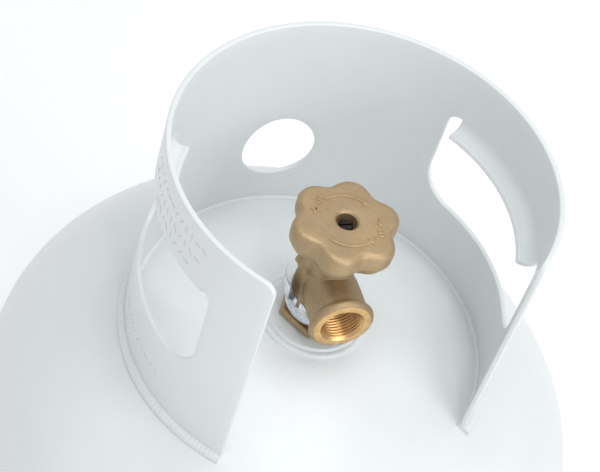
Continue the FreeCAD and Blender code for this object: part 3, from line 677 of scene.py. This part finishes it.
def grip_outline(side, step):
    """Window outline as (front angle, z), and how many points its top edge takes, first."""
    inset, bend = GRIP_CORNER / COLLAR_R, GRIP_SHOULDER / COLLAR_R
    low, high = GRIP_FLOOR + GRIP_CORNER, GRIP_TOP - GRIP_SHOULDER
    lo, hi = GRIP_FROM, GRIP_TO
    nip = math.radians(0.45)
    top = [lo + bend] + evenly(lo + bend + nip, hi - bend - nip, step) + [hi - bend]
    floor = evenly(hi - inset, lo + inset, step)[1:-1]
    loop = [(a, GRIP_TOP) for a in top]
    loop += rounding(hi - bend, high, GRIP_SHOULDER, 90, 0, 6)[1:]
    loop += rounding(hi - inset, low, GRIP_CORNER, 0, -90, 8)
    loop += [(a, GRIP_FLOOR) for a in floor]
    loop += rounding(lo + inset, low, GRIP_CORNER, -90, -180, 8)
    loop += rounding(lo + bend, high, GRIP_SHOULDER, 180, 90, 6)[:-1]
    return [(side * a, z) for a, z in loop], len(top)


def sheet_outline(corner, step):
    """Unrolled sheet from one edge of the mouth round to the other."""
    start, end = MOUTH_HALF, 2 * math.pi - MOUTH_HALF
    low, shoulder = head_z(COLLAR_R - SHEET / 2), RIM_Z - corner
    turn = corner / COLLAR_R
    up = [(start, z) for z in evenly(low, shoulder, 9 * MM)]
    rim = [(a, RIM_Z) for a in evenly(start + turn, end - turn, step)]
    down = [(end, z) for z in evenly(shoulder, low, 9 * MM)]
    base = [(a, low) for a in evenly(end, start, step)]
    return (up[1:-1] + rounding(start + turn, shoulder, corner, 180, 90, 6) + rim[1:-1]
            + rounding(end - turn, shoulder, corner, 90, 0, 6) + down[1:-1] + base)


def inside_loop(point, loop):
    hit = False
    x, y = point
    for i in range(len(loop)):
        (ax, ay), (bx, by) = loop[i - 1], loop[i]
        if (ay > y) != (by > y) and x < (bx - ax) * (y - ay) / (by - ay) + ax:
            hit = not hit
    return hit


def on_sheet(angle, z, radius):
    """Front angle and height to a point; the front is -Y and the angle grows to +X."""
    return ring_point(radius, angle - math.pi / 2, z)


class CYLINDER_OT_collar(bpy.types.Operator):
    """Bends the guard collar from its unrolled outline and rolls the handhold edges"""
    bl_idname = "cylinder.collar"
    bl_label = "Guard collar"

    def execute(self, context):
        collar = context.scene.cylinder_collar
        step = math.radians(2.5)
        middle = COLLAR_R - SHEET / 2
        outline = sheet_outline(collar.corner, step)
        windows = [grip_outline(1, step)[0]]
        windows.append([(2 * math.pi + a, z) for a, z in grip_outline(-1, step)[0]])
        windows.append(rounding(math.pi, BACK_HOLE_Z, BACK_HOLE_R, 0, 360, 56)[:-1])
        points, edges = [], []
        for loop in [outline] + windows:
            first = len(points)
            points += [Vector((a * middle, z)) for a, z in loop]
            edges += [(first + i, first + (i + 1) % len(loop)) for i in range(len(loop))]
        border = list(points)
        for a in evenly(MOUTH_HALF, 2 * math.pi - MOUTH_HALF, step):
            for z in evenly(head_z(middle), RIM_Z, 9 * MM):
                spot = Vector((a * middle, z))
                clear = min((spot - b).length for b in border) > 3.2 * MM
                if clear and inside_loop((a, z), outline) and not any(
                        inside_loop((a, z), w) for w in windows):
                    points.append(spot)
        flat, _, faces = delaunay_2d_cdt(points, edges, [], 2, 1e-7)[:3]
        sheet = bmesh.new()
        verts = [sheet.verts.new(on_sheet(p.x / middle, p.y, middle)) for p in flat]
        for face in faces:
            spot = sum((flat[i] for i in face), Vector((0, 0))) / len(face)
            spot = (spot.x / middle, spot.y)
            if inside_loop(spot, outline) and not any(inside_loop(spot, w) for w in windows):
                sheet.faces.new([verts[i] for i in face])
        loose_verts = [v for v in verts if not v.link_faces]
        bmesh.ops.delete(sheet, geom=loose_verts, context="VERTS")
        centre = middle - collar.roll
        for side in (1, -1):
            top, count = grip_outline(side, step)
            angles = [a for a, z in top[1:count - 1]]
            rows = []
            for k in range(13):
                turn = math.radians(125) * k / 12
                rows.append([on_sheet(a, GRIP_TOP - collar.roll * math.sin(turn),
                                      centre + collar.roll * math.cos(turn)) for a in angles])
            absorb(sheet, grid_mesh(rows, False, False))
        bmesh.ops.remove_doubles(sheet, verts=sheet.verts, dist=0.02 * MM)
        bmesh.ops.recalc_face_normals(sheet, faces=sheet.faces)
        shell = loose("collar_sheet", sheet)
        modified(shell, "SOLIDIFY", "thickness", thickness=SHEET, offset=0,
                 use_even_offset=True)
        modified(shell, "BEVEL", "cut_edges", width=collar.edge, segments=3,
                 limit_method="ANGLE", angle_limit=math.radians(50))
        finished("collar_guard", baked(shell), "paint", "cylinder", "paint", "collar",
                 smooth=40)
        return {"FINISHED"}


def marks_tree():
    """Path in, a row of small pressed strokes out, each turned by its own random amount."""
    tree, given = new_tree("pressed_row", (
        ("Spacing", "Float", 5 * MM), ("Stroke Length", "Float", 4.8 * MM),
        ("Stroke Width", "Float", 1.3 * MM), ("Stroke Height", "Float", 0.7 * MM),
        ("Seed", "Int", 3)), "Marks")
    path = geo(tree, "MeshToCurve", {"Mesh": given["Carrier"]})
    held = node(tree, "GeometryNodeCaptureAttribute", {"Geometry": path})
    held.capture_items.new("VECTOR", "Tangent")
    tree.links.new(geo(tree, "InputTangent"), held.inputs[1])
    spots = geo(tree, "CurveToPoints", {"Curve": held.outputs[0], "Length": given["Spacing"]},
                "Points", mode="LENGTH")
    face = node(tree, "FunctionNodeAlignEulerToVector", {"Vector": held.outputs[1]}, axis="X",
                pivot_axis="Z").outputs[0]
    stroke = geo(tree, "MeshUVSphere", {"Segments": 10, "Rings": 6, "Radius": 0.5})
    size = node(tree, "ShaderNodeCombineXYZ", {0: given["Stroke Length"],
                                               1: given["Stroke Height"],
                                               2: given["Stroke Width"]}).outputs[0]
    turn = node(tree, "FunctionNodeRandomValue", {"Min": 0.0, "Max": 3.99, "Seed": given["Seed"]},
                data_type="FLOAT").outputs[1]
    turn = times(tree, maths(tree, "FLOOR", turn), math.pi / 4)
    spin = node(tree, "ShaderNodeCombineXYZ", {1: turn}).outputs[0]
    put = geo(tree, "InstanceOnPoints", {"Points": spots, "Instance": stroke, "Rotation": face,
                                         "Scale": size})
    spun = geo(tree, "RotateInstances", {"Instances": put, "Rotation": spin})
    return closing(tree, spun, given["Finish"])


class CYLINDER_OT_pressed_marks(bpy.types.Operator):
    """Presses rows of plain strokes in the collar's left face, where its data would stand"""
    bl_idname = "cylinder.pressed_marks"
    bl_label = "Pressed marks"

    def execute(self, context):
        tree = marks_tree()
        whole = bmesh.new()
        rows = ((-101, -66, RIM_Z - 11 * MM, 3), (-101, -68, RIM_Z - 20 * MM, 5),
                (-94, -72, RIM_Z - 28 * MM, 8), (-100, -72, RIM_Z - 118 * MM, 11))
        for a, b, z, seed in rows:
            path = [on_sheet(t, z, COLLAR_R) for t in evenly(math.radians(a), math.radians(b),
                                                             math.radians(1))]
            # The strokes take the darkened enamel, which is painted shade for their relief.
            absorb(whole, grown("row", path_mesh(path, False), tree, spacing=5.0 * MM,
                                stroke_length=4.8 * MM, stroke_width=1.3 * MM,
                                stroke_height=0.7 * MM, seed=seed,
                                finish=FINISH["mark_paint"]))
        finished("pressed_marks", whole, "mark_paint", "cylinder", "paint", smooth=0)
        return {"FINISHED"}


# ---- handwheel
def lobes_tree():
    """Round blank in, lobed wheel out: each point moves in or out by its share of the wave."""
    tree, given = new_tree("lobed_wheel", (
        ("Lobes", "Int", 6), ("Swing", "Float", 2.4 * MM), ("Turn", "Float", 0.0)), "Wheel")
    parts = node(tree, "ShaderNodeSeparateXYZ", {0: geo(tree, "InputPosition")}).outputs
    angle = maths(tree, "ARCTAN2", parts[1], parts[0])
    phase = times(tree, maths(tree, "SUBTRACT", angle, given["Turn"]), given["Lobes"])
    flatter = times(tree, maths(tree, "COSINE", times(tree, phase, 2.0)), -0.10)
    wave = maths(tree, "ADD", maths(tree, "COSINE", phase), flatter)
    share = geo(tree, "InputNamedAttribute", {"Name": "share"}, data_type="FLOAT")
    move = times(tree, times(tree, wave, given["Swing"]), share)
    flat = node(tree, "ShaderNodeCombineXYZ", {0: parts[0], 1: parts[1]}).outputs[0]
    way = vectors(tree, "NORMALIZE", flat)[0]
    offset = node(tree, "ShaderNodeVectorMath", {0: way, "Scale": move},
                  operation="SCALE").outputs[0]
    wheel = geo(tree, "SetPosition", {"Geometry": given["Carrier"], "Offset": offset})
    return closing(tree, wheel, given["Finish"])


def flat_shape(points, z0, z1):
    """Closed prism from a flat outline of (x, y) points."""
    made = bmesh.new()
    low = [made.verts.new((x, y, z0)) for x, y in points]
    high = [made.verts.new((x, y, z1)) for x, y in points]
    made.faces.new(high)
    made.faces.new(low[::-1])
    for i in range(len(points)):
        j = (i + 1) % len(points)
        made.faces.new((low[i], low[j], high[j], high[i]))
    return made


def polar(radius, degrees):
    a = math.radians(degrees)
    return radius * math.cos(a), radius * math.sin(a)


def arrow_outline(a0, a1):
    """Curved arrow from one direction to another, head at the second."""
    way = math.copysign(1.0, a1 - a0)
    steps = evenly(a0, a1, 4)
    outer = [polar(18.1 * MM, a) for a in steps]
    inner = [polar(16.3 * MM, a) for a in reversed(steps)]
    head = [polar(20.0 * MM, a1), polar(17.2 * MM, a1 + way * 15), polar(14.4 * MM, a1)]
    return outer + head + inner


class CYLINDER_OT_handwheel(bpy.types.Operator):
    """Shapes the lobed cast handwheel and its raised arrows and signs"""
    bl_idname = "cylinder.handwheel"
    bl_label = "Handwheel"

    def execute(self, context):
        wheel = context.scene.cylinder_wheel
        mean = (wheel.reach + wheel.hollow) / 2
        swing = (wheel.reach - wheel.hollow) / 2
        top, foot = WHEEL_TOP, WHEEL_FOOT
        hub = HUB_FOOT
        corners = [
            (4.52 * MM, top - 7 * MM, 0), (5.75 * MM, top - 7 * MM, 0.3 * MM),
            (5.75 * MM, top - 1.1 * MM, 0.3 * MM), (6.9 * MM, top, 0.6 * MM),
            (12 * MM, top, 0), (18 * MM, top, 0), (mean, top - 0.1 * MM, 4.2 * MM),
            (mean - 0.4 * MM, foot + 7 * MM, 5 * MM), (mean - 4.2 * MM, foot, 1.4 * MM),
            (17.8 * MM, foot, 0.8 * MM), (16.6 * MM, foot + 8 * MM, 1.5 * MM),
            (10.6 * MM, foot + 8 * MM, 1.5 * MM), (9.2 * MM, hub + 1 * MM, 0.4 * MM),
            (8.4 * MM, hub, 0.4 * MM), (4.52 * MM, hub, 0)]
        blank = lathe(softened(corners, 8), 240)
        share = blank.verts.layers.float.new("share")
        for vert in blank.verts:
            r = math.hypot(vert.co.x, vert.co.y)
            t = min(1.0, max(0.0, (r - 15.5 * MM) / (7 * MM)))
            vert[share] = t * t * (3 - 2 * t)
        mesh = grown("wheel", blank, lobes_tree(), lobes=wheel.lobes, swing=swing,
                     turn=wheel.turn, finish=FINISH["wheel_cast"])
        marks = bmesh.new()
        absorb(marks, mesh)
        low, high = top - 0.4 * MM, top + 0.48 * MM
        shapes = [flat_shape(arrow_outline(-140, -62), low, high),
                  flat_shape(arrow_outline(118, 42), low, high)]
        level, upright = (-2.8, 16.5, 2.8, 17.9), (-0.7, 14.4, 0.7, 20.0)
        ticks = [(x - 0.55, 15.2, x + 0.55, 19.2) for x in (5.2, 7.2, 9.2)]
        for turn, bars in ((60, [level, upright] + ticks), (-100, [level] + ticks)):
            spin = Matrix.Rotation(math.radians(turn), 2)
            for x0, y0, x1, y1 in bars:
                box = [spin @ Vector((x * MM, y * MM)) for x, y in
                       ((x0, y0), (x1, y0), (x1, y1), (x0, y1))]
                shapes.append(flat_shape(box, low, high))
        for shape in shapes:
            carrier = loose("mark", shape)
            modified(carrier, "BEVEL", "round", width=0.22 * MM, segments=2)
            absorb(marks, baked(carrier))
        finished("handwheel_casting", marks, "wheel_cast", "wheel", "brass_cast",
                 "handwheel", smooth=50)
        return {"FINISHED"}


# ---- valve
def heading(degrees):
    """Level direction, measured from the back towards +X."""
    return Vector((math.sin(math.radians(degrees)), math.cos(math.radians(degrees)), 0))


RELIEF, BLEED = heading(40), heading(-15)
FRONT, UP = Vector((0, -1, 0)), Vector((0, 0, 1))

# Valve sizes below are in millimetres.
BLEED_Z = 358
SOCKET_FOOT, THREAD_START, THREAD_END, SOCKET_MOUTH = 11.5, 15.0, 30.6, 33.0
CUT_TOP, SEAL_BORE_R = 383.95, 10.05


def along(way, x=0.0, y=0.0, z=OUTLET_Z / MM):
    """Placing that turns a shape built up Z to point another way from a spot in mm."""
    turn = way.to_track_quat("Z", "Y").to_matrix().to_4x4()
    return Matrix.Translation((x * MM, y * MM, z * MM)) @ turn


def turned_solid(profile, segments=96, place=None):
    """Solid of revolution from an open (r, distance) profile in mm, both ends on the axis."""
    rows = [[ring_point(r * MM, 2 * math.pi * i / segments, d * MM) for r, d in profile]
            for i in range(segments)]
    made = grid_mesh(rows, True, False)
    bmesh.ops.remove_doubles(made, verts=made.verts, dist=1e-7)
    if place is not None:
        made.transform(place)
    bmesh.ops.recalc_face_normals(made, faces=made.faces)
    return made


def rod(radius, start, end, place=None, segments=48):
    return turned_solid([(0, start), (radius, start), (radius, end), (0, end)], segments, place)


def hexagon_solid(flats, z0, z1, turn, chamfer=0.8):
    """Chamfered hexagon bar about Z, sizes in mm."""
    reach = flats / math.sqrt(3) * MM
    rows = []
    for z, cut in ((z0, 0.93), (z0 + chamfer, 1.0), (z1 - chamfer, 1.0), (z1, 0.93)):
        rows.append([ring_point(reach * cut, math.radians(turn + 60 * i), z * MM)
                     for i in range(6)])
    made = capped(grid_mesh(rows, False, True), 6)
    bmesh.ops.recalc_face_normals(made, faces=made.faces)
    return made


def outlet_cutter(valve):
    """Socket with its sealing cone, left-hand thread and lead-in, cut from the front."""
    minor, depth = valve.thread_minor, valve.thread_major - valve.thread_minor
    segments, pitch = 120, valve.thread_pitch
    plain = [(SOCKET_FOOT, 4.5), (THREAD_START, minor / MM), (30.1, minor / MM), (32.0, 12.1),
             (SOCKET_MOUTH, 12.1)]

    def base(s):
        for (s0, r0), (s1, r1) in zip(plain, plain[1:]):
            if s <= s1:
                return (r0 + (r1 - r0) * (s - s0) / (s1 - s0)) * MM
        return plain[-1][1] * MM

    stations = [SOCKET_FOOT + 0.5 * i for i in range(7)]
    stations += evenly(THREAD_START, THREAD_END, pitch / MM / 12)
    stations += [31.0, 31.5, 32.0, SOCKET_MOUTH]
    rows = []
    for i in range(segments):
        turn = i / segments
        row = []
        for s in stations:
            phase = (s * MM / pitch + turn) % 1.0
            tooth = min(1.0, max(0.0, 2.4 * (0.5 - abs(phase - 0.5)) - 0.15))
            fade = min(1.0, max(0.0, (s - 15.4) / 1.2)) * min(1.0, max(0.0, (30.9 - s) / 0.8))
            cut = minor + depth * tooth * fade if s > THREAD_START else 0.0
            row.append(ring_point(max(base(s), cut), -2 * math.pi * turn, s * MM))
        rows.append(row)
    made = grid_mesh(rows, True, False)
    bmesh.ops.contextual_create(made, geom=[e for e in made.edges if e.is_boundary and
                                            e.verts[0].co.z < 12 * MM])
    bmesh.ops.contextual_create(made, geom=[e for e in made.edges if e.is_boundary])
    made.transform(along(FRONT))
    bmesh.ops.recalc_face_normals(made, faces=made.faces)
    return made


class CYLINDER_OT_valve(bpy.types.Operator):
    """Casts the valve body, then machines its outlet, thread, bores and side ports"""
    bl_idname = "cylinder.valve"
    bl_label = "Valve body"

    def execute(self, context):
        valve = context.scene.cylinder_valve
        shoulder = []
        for i in range(9):
            t = i / 8
            a, b, c = (1 - t) ** 2, 2 * t * (1 - t), t ** 2
            shoulder.append((a * 16.8 + b * 16.75 + c * 12.9, a * 361 + b * 366.7 + c * 372))
        drum = [(0, 341), (15, 341), (15, 343.6), (16.3, 343.8), (16.8, 344.4)] + shoulder + [
            (12.5, 374), (12.5, 383.2), (11.9, 384), (11.9, 384.8), (0, 384.8)]
        stem = [(0, 317), (12.744, 317), (13.4, 338), (13.4, 340), (0, 340)]
        bell = [(0, 0), (14.4, 3), (15.4, 8), (15.6, 14), (15.6, 22), (15.3, 25.5), (16.5, 27.3),
                (17.7, 28.2), (17.7, 29.6), (17.0, 31.2), (15.2, 32.2), (15.2, 33), (0, 33)]
        whole = bmesh.new()
        for part in (turned_solid(drum), turned_solid(stem), turned_solid(bell, 96, along(FRONT)),
                     hexagon_solid(36, 338, 342.5, 0), rod(10, 5, 30, along(RELIEF)),
                     rod(4.6, 8, 19.5, along(BLEED, z=BLEED_Z))):
            absorb(whole, part)
        casting = loose("casting", whole)
        modified(casting, "REMESH", "skin", mode="VOXEL", voxel_size=valve.skin)
        modified(casting, "SMOOTH", "ease", factor=0.5, iterations=3)
        foot = BLEED * 8.9
        low = Vector((foot.x, foot.y, 324.5))
        high = Vector((BLEED.x * 12.9, BLEED.y * 12.9, BLEED_Z))
        drop = RELIEF * 11.9
        cutters = [
            turned_solid([(0, 310), (5, 310), (5, 350), (4, 350), (4, 356), (5.6, 356),
                          (5.6, 353), (8.5, 353), (8.5, 367), (8, 367), (8, 377), (10, 377),
                          (10, 390), (0, 390)]),
            turned_solid([(0, 384), (20, 384), (20, 390), (0, 390)], 24),
            rod(30, 32, 40, along(FRONT)),
            outlet_cutter(valve),
            rod(3.2, 1, 13, along(FRONT, z=364)),
            turned_solid([(0, 10.6), (3, 10.6), (3, 15.5), (4.2, 15.5), (4.2, 13.5), (8, 13.5),
                          (8, 35), (0, 35)], 64, along(RELIEF)),
            rod(1.4, 347, 365, Matrix.Translation((drop.x * MM, drop.y * MM, 0))),
            rod(1.4, 0, 12.4, along(RELIEF, z=347.8)),
            rod(2.55, 12.6, 24, along(BLEED, z=BLEED_Z)),
            rod(2.0, 310, 325, Matrix.Translation((foot.x * MM, foot.y * MM, 0))),
            rod(0.9, 0, (high - low).length, along(high - low, low.x, low.y, low.z)),
        ]
        tools = [loose("cutter", cutter) for cutter in cutters]
        for tool in tools:
            modified(casting, "BOOLEAN", "cut", object=tool, operation="DIFFERENCE",
                     solver="EXACT")
        mesh = baked(casting)
        for tool in tools:
            bpy.data.objects.remove(tool)
        body = finished("valve_casting", mesh, "brass_cast", "cylinder", "brass_cast",
                        "valve_body", smooth=40)
        for extra in ("outlet_face", "thread", "brass_machined"):
            mesh.materials.append(FINISH[extra])
        for face in body.data.polygons:
            spot = face.center
            away = math.hypot(spot.x, spot.z - OUTLET_Z)
            if spot.y < -OUTLET_Y + 0.05 * MM:
                face.material_index = 1
            elif spot.y < -11 * MM and away < 12.2 * MM:
                face.material_index = 1 if spot.y < -THREAD_END * MM else 2
            elif spot.z > CUT_TOP * MM or math.hypot(spot.x, spot.y) < SEAL_BORE_R * MM:
                face.material_index = 3
        return {"FINISHED"}


# ---- small parts
def eased(piece, width):
    """Welds the node's facets together and rounds its sharp edges."""
    modified(piece, "WELD", "join", merge_threshold=1e-6)
    modified(piece, "BEVEL", "edge", width=width, segments=2, limit_method="ANGLE",
             angle_limit=math.radians(40))


class CYLINDER_OT_fittings(bpy.types.Operator):
    """Gives every part that keeps its exact shape its finish and its eased edges"""
    bl_idname = "cylinder.fittings"
    bl_label = "Small parts"

    def execute(self, context):
        easing = {"bonnet": 0.35, "wheel_screw": 0.18, "wheel_washer": 0.1, "relief_cap": 0.25,
                  "relief_retainer": 0.15, "bleed_screw": 0.2, "valve_boss": 0.6,
                  "neck_band": 0.12, "foot_ring": 0.6}
        for part in frame["record"]["subparts"]:
            piece = frame["nodes"][part["node"]]
            if piece.hide_render:
                continue
            piece.data.materials.clear()
            cast = part["node"] == "bleed_screw"
            piece.data.materials.append(FINISH["brass_cast" if cast else part["material_slot"]])
            if part["node"] in easing:
                eased(piece, easing[part["node"]] * MM)
        return {"FINISHED"}


class CYLINDER_OT_relief_spring(bpy.types.Operator):
    """Winds the relief spring as one fixed coil; nothing here shortens it as its valve opens"""
    bl_idname = "cylinder.relief_spring"
    bl_label = "Relief spring"

    def execute(self, context):
        coil_r, wire, start, rise, turns = 4.6, 0.58, 19.12, 6.76, 3.5
        sides, steps = 14, 40
        rows = []
        for i in range(int(turns * steps) + 1):
            out = ring_point(1, 2 * math.pi * i / steps, 0)
            spot = out * coil_r + UP * (start + rise * i / (turns * steps))
            rows.append([(spot + out * wire * math.cos(t) + UP * wire * math.sin(t)) * MM
                         for t in (2 * math.pi * k / sides for k in range(sides))])
        coil = capped(grid_mesh(rows, False, True), sides)
        coil.transform(along(RELIEF))
        spring = finished("spring_coil", coil, "bright_steel", "relief",
                          "bright_steel", "relief_spring", smooth=50)
        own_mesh(spring)
        return {"FINISHED"}


# ---- floor, light, camera
def plain_light(name, place, size, power, tint=(1, 1, 1)):
    """Round soft light turned to the valve, its size in metres and its power in watts."""
    data = bpy.data.lights.new(name, "AREA")
    data.shape = "DISK"
    data.size = size
    data.energy = power
    data.color = tint
    lamp = bpy.data.objects.new(name, data)
    bpy.context.scene.collection.objects.link(lamp)
    lamp.location = place
    lamp.rotation_euler = (UP * 0.38 - Vector(place)).to_track_quat("-Z", "Y").to_euler()
    return lamp


class CYLINDER_OT_stage(bpy.types.Operator):
    """Sets the pale floor, the soft lights and the camera"""
    bl_idname = "cylinder.stage"
    bl_label = "Floor, light and camera"

    def execute(self, context):
        scene = context.scene
        stage = scene.cylinder_stage
        sheet = bmesh.new()
        bmesh.ops.create_grid(sheet, x_segments=8, y_segments=8, size=5.0)
        floor = loose("floor", sheet)
        floor.location.z = -0.5 * MM
        finish, tree, shader, coords = new_finish("pale_floor")
        shade = mixed(tree, speckle(tree, coords, 3.0), (0.93, 0.935, 0.94, 1.0),
                      (0.95, 0.95, 0.955, 1.0))
        tree.links.new(shade, shader.inputs["Base Color"])
        shader.inputs["Roughness"].default_value = 0.9
        shader.inputs["Emission Color"].default_value = (1.0, 1.0, 1.0, 1.0)
        shader.inputs["Emission Strength"].default_value = 0.12
        floor.data.materials.append(finish)
        key = plain_light("key", (-0.2, -1.1, 2.3), 0.16, 3.5, (1.0, 0.985, 0.965))
        top = plain_light("top", (0.15, 0.1, 2.45), 1.3, 14)
        front = plain_light("front", (1.0, -2.3, 1.9), 2.2, 27)
        world = bpy.data.worlds.new("studio")
        world.use_nodes = True
        sky = world.node_tree.nodes["Background"]
        sky.inputs["Color"].default_value = (0.97, 0.985, 1.0, 1.0)
        sky.inputs["Strength"].default_value = 0.62
        scene.world = world
        scene.view_settings.view_transform = "Standard"

        az, el, roll = stage.azimuth, stage.elevation, stage.roll
        back = Vector((math.sin(az) * math.cos(el), -math.cos(az) * math.cos(el), math.sin(el)))
        right = (-back).cross(UP).normalized()
        over = right.cross(-back)
        across = math.cos(roll) * right + math.sin(roll) * over
        above = -math.sin(roll) * right + math.cos(roll) * over
        data = bpy.data.cameras.new("camera")
        data.lens = stage.lens
        data.sensor_width = 36.0
        camera = bpy.data.objects.new("camera", data)
        scene.collection.objects.link(camera)
        place = (UP * RIM_Z + across * stage.aside[0] + above * stage.aside[1]
                 + back * stage.distance)
        turn = Matrix((across, above, back)).transposed().to_4x4()
        camera.matrix_world = Matrix.Translation(place) @ turn
        scene.camera = camera
        return {"FINISHED"}


# ---- panel and registration
class CYLINDER_PT_panel(bpy.types.Panel):
    """Every step of the build, in order"""
    bl_idname = "CYLINDER_PT_panel"
    bl_label = "Gas cylinder"
    bl_space_type = "VIEW_3D"
    bl_region_type = "UI"
    bl_category = "Cylinder"

    def draw(self, context):
        for step in STEPS:
            self.layout.operator(step.bl_idname)
        for name, kind in SETTINGS.items():
            group = getattr(context.scene, name)
            box = self.layout.box()
            for field in kind.__annotations__:
                box.prop(group, field)


STEPS = (
    CYLINDER_OT_vessel,
    CYLINDER_OT_welds,
    CYLINDER_OT_collar,
    CYLINDER_OT_pressed_marks,
    CYLINDER_OT_valve,
    CYLINDER_OT_handwheel,
    CYLINDER_OT_relief_spring,
    CYLINDER_OT_fittings,
    CYLINDER_OT_stage,
)


def register():
    for name, kind in SETTINGS.items():
        bpy.utils.register_class(kind)
        setattr(bpy.types.Scene, name, PointerProperty(type=kind))
    for kind in STEPS + (CYLINDER_PT_panel,):
        bpy.utils.register_class(kind)


def unregister():
    for kind in reversed(STEPS + (CYLINDER_PT_panel,)):
        bpy.utils.unregister_class(kind)
    for name, kind in reversed(list(SETTINGS.items())):
        delattr(bpy.types.Scene, name)
        bpy.utils.unregister_class(kind)


def main():
    register()
    FINISH.update(make_finishes(bpy.context.scene))
    for step in STEPS:
        group, call = step.bl_idname.split(".")
        getattr(getattr(bpy.ops, group), call)()


if __name__ == "__main__":
    main()
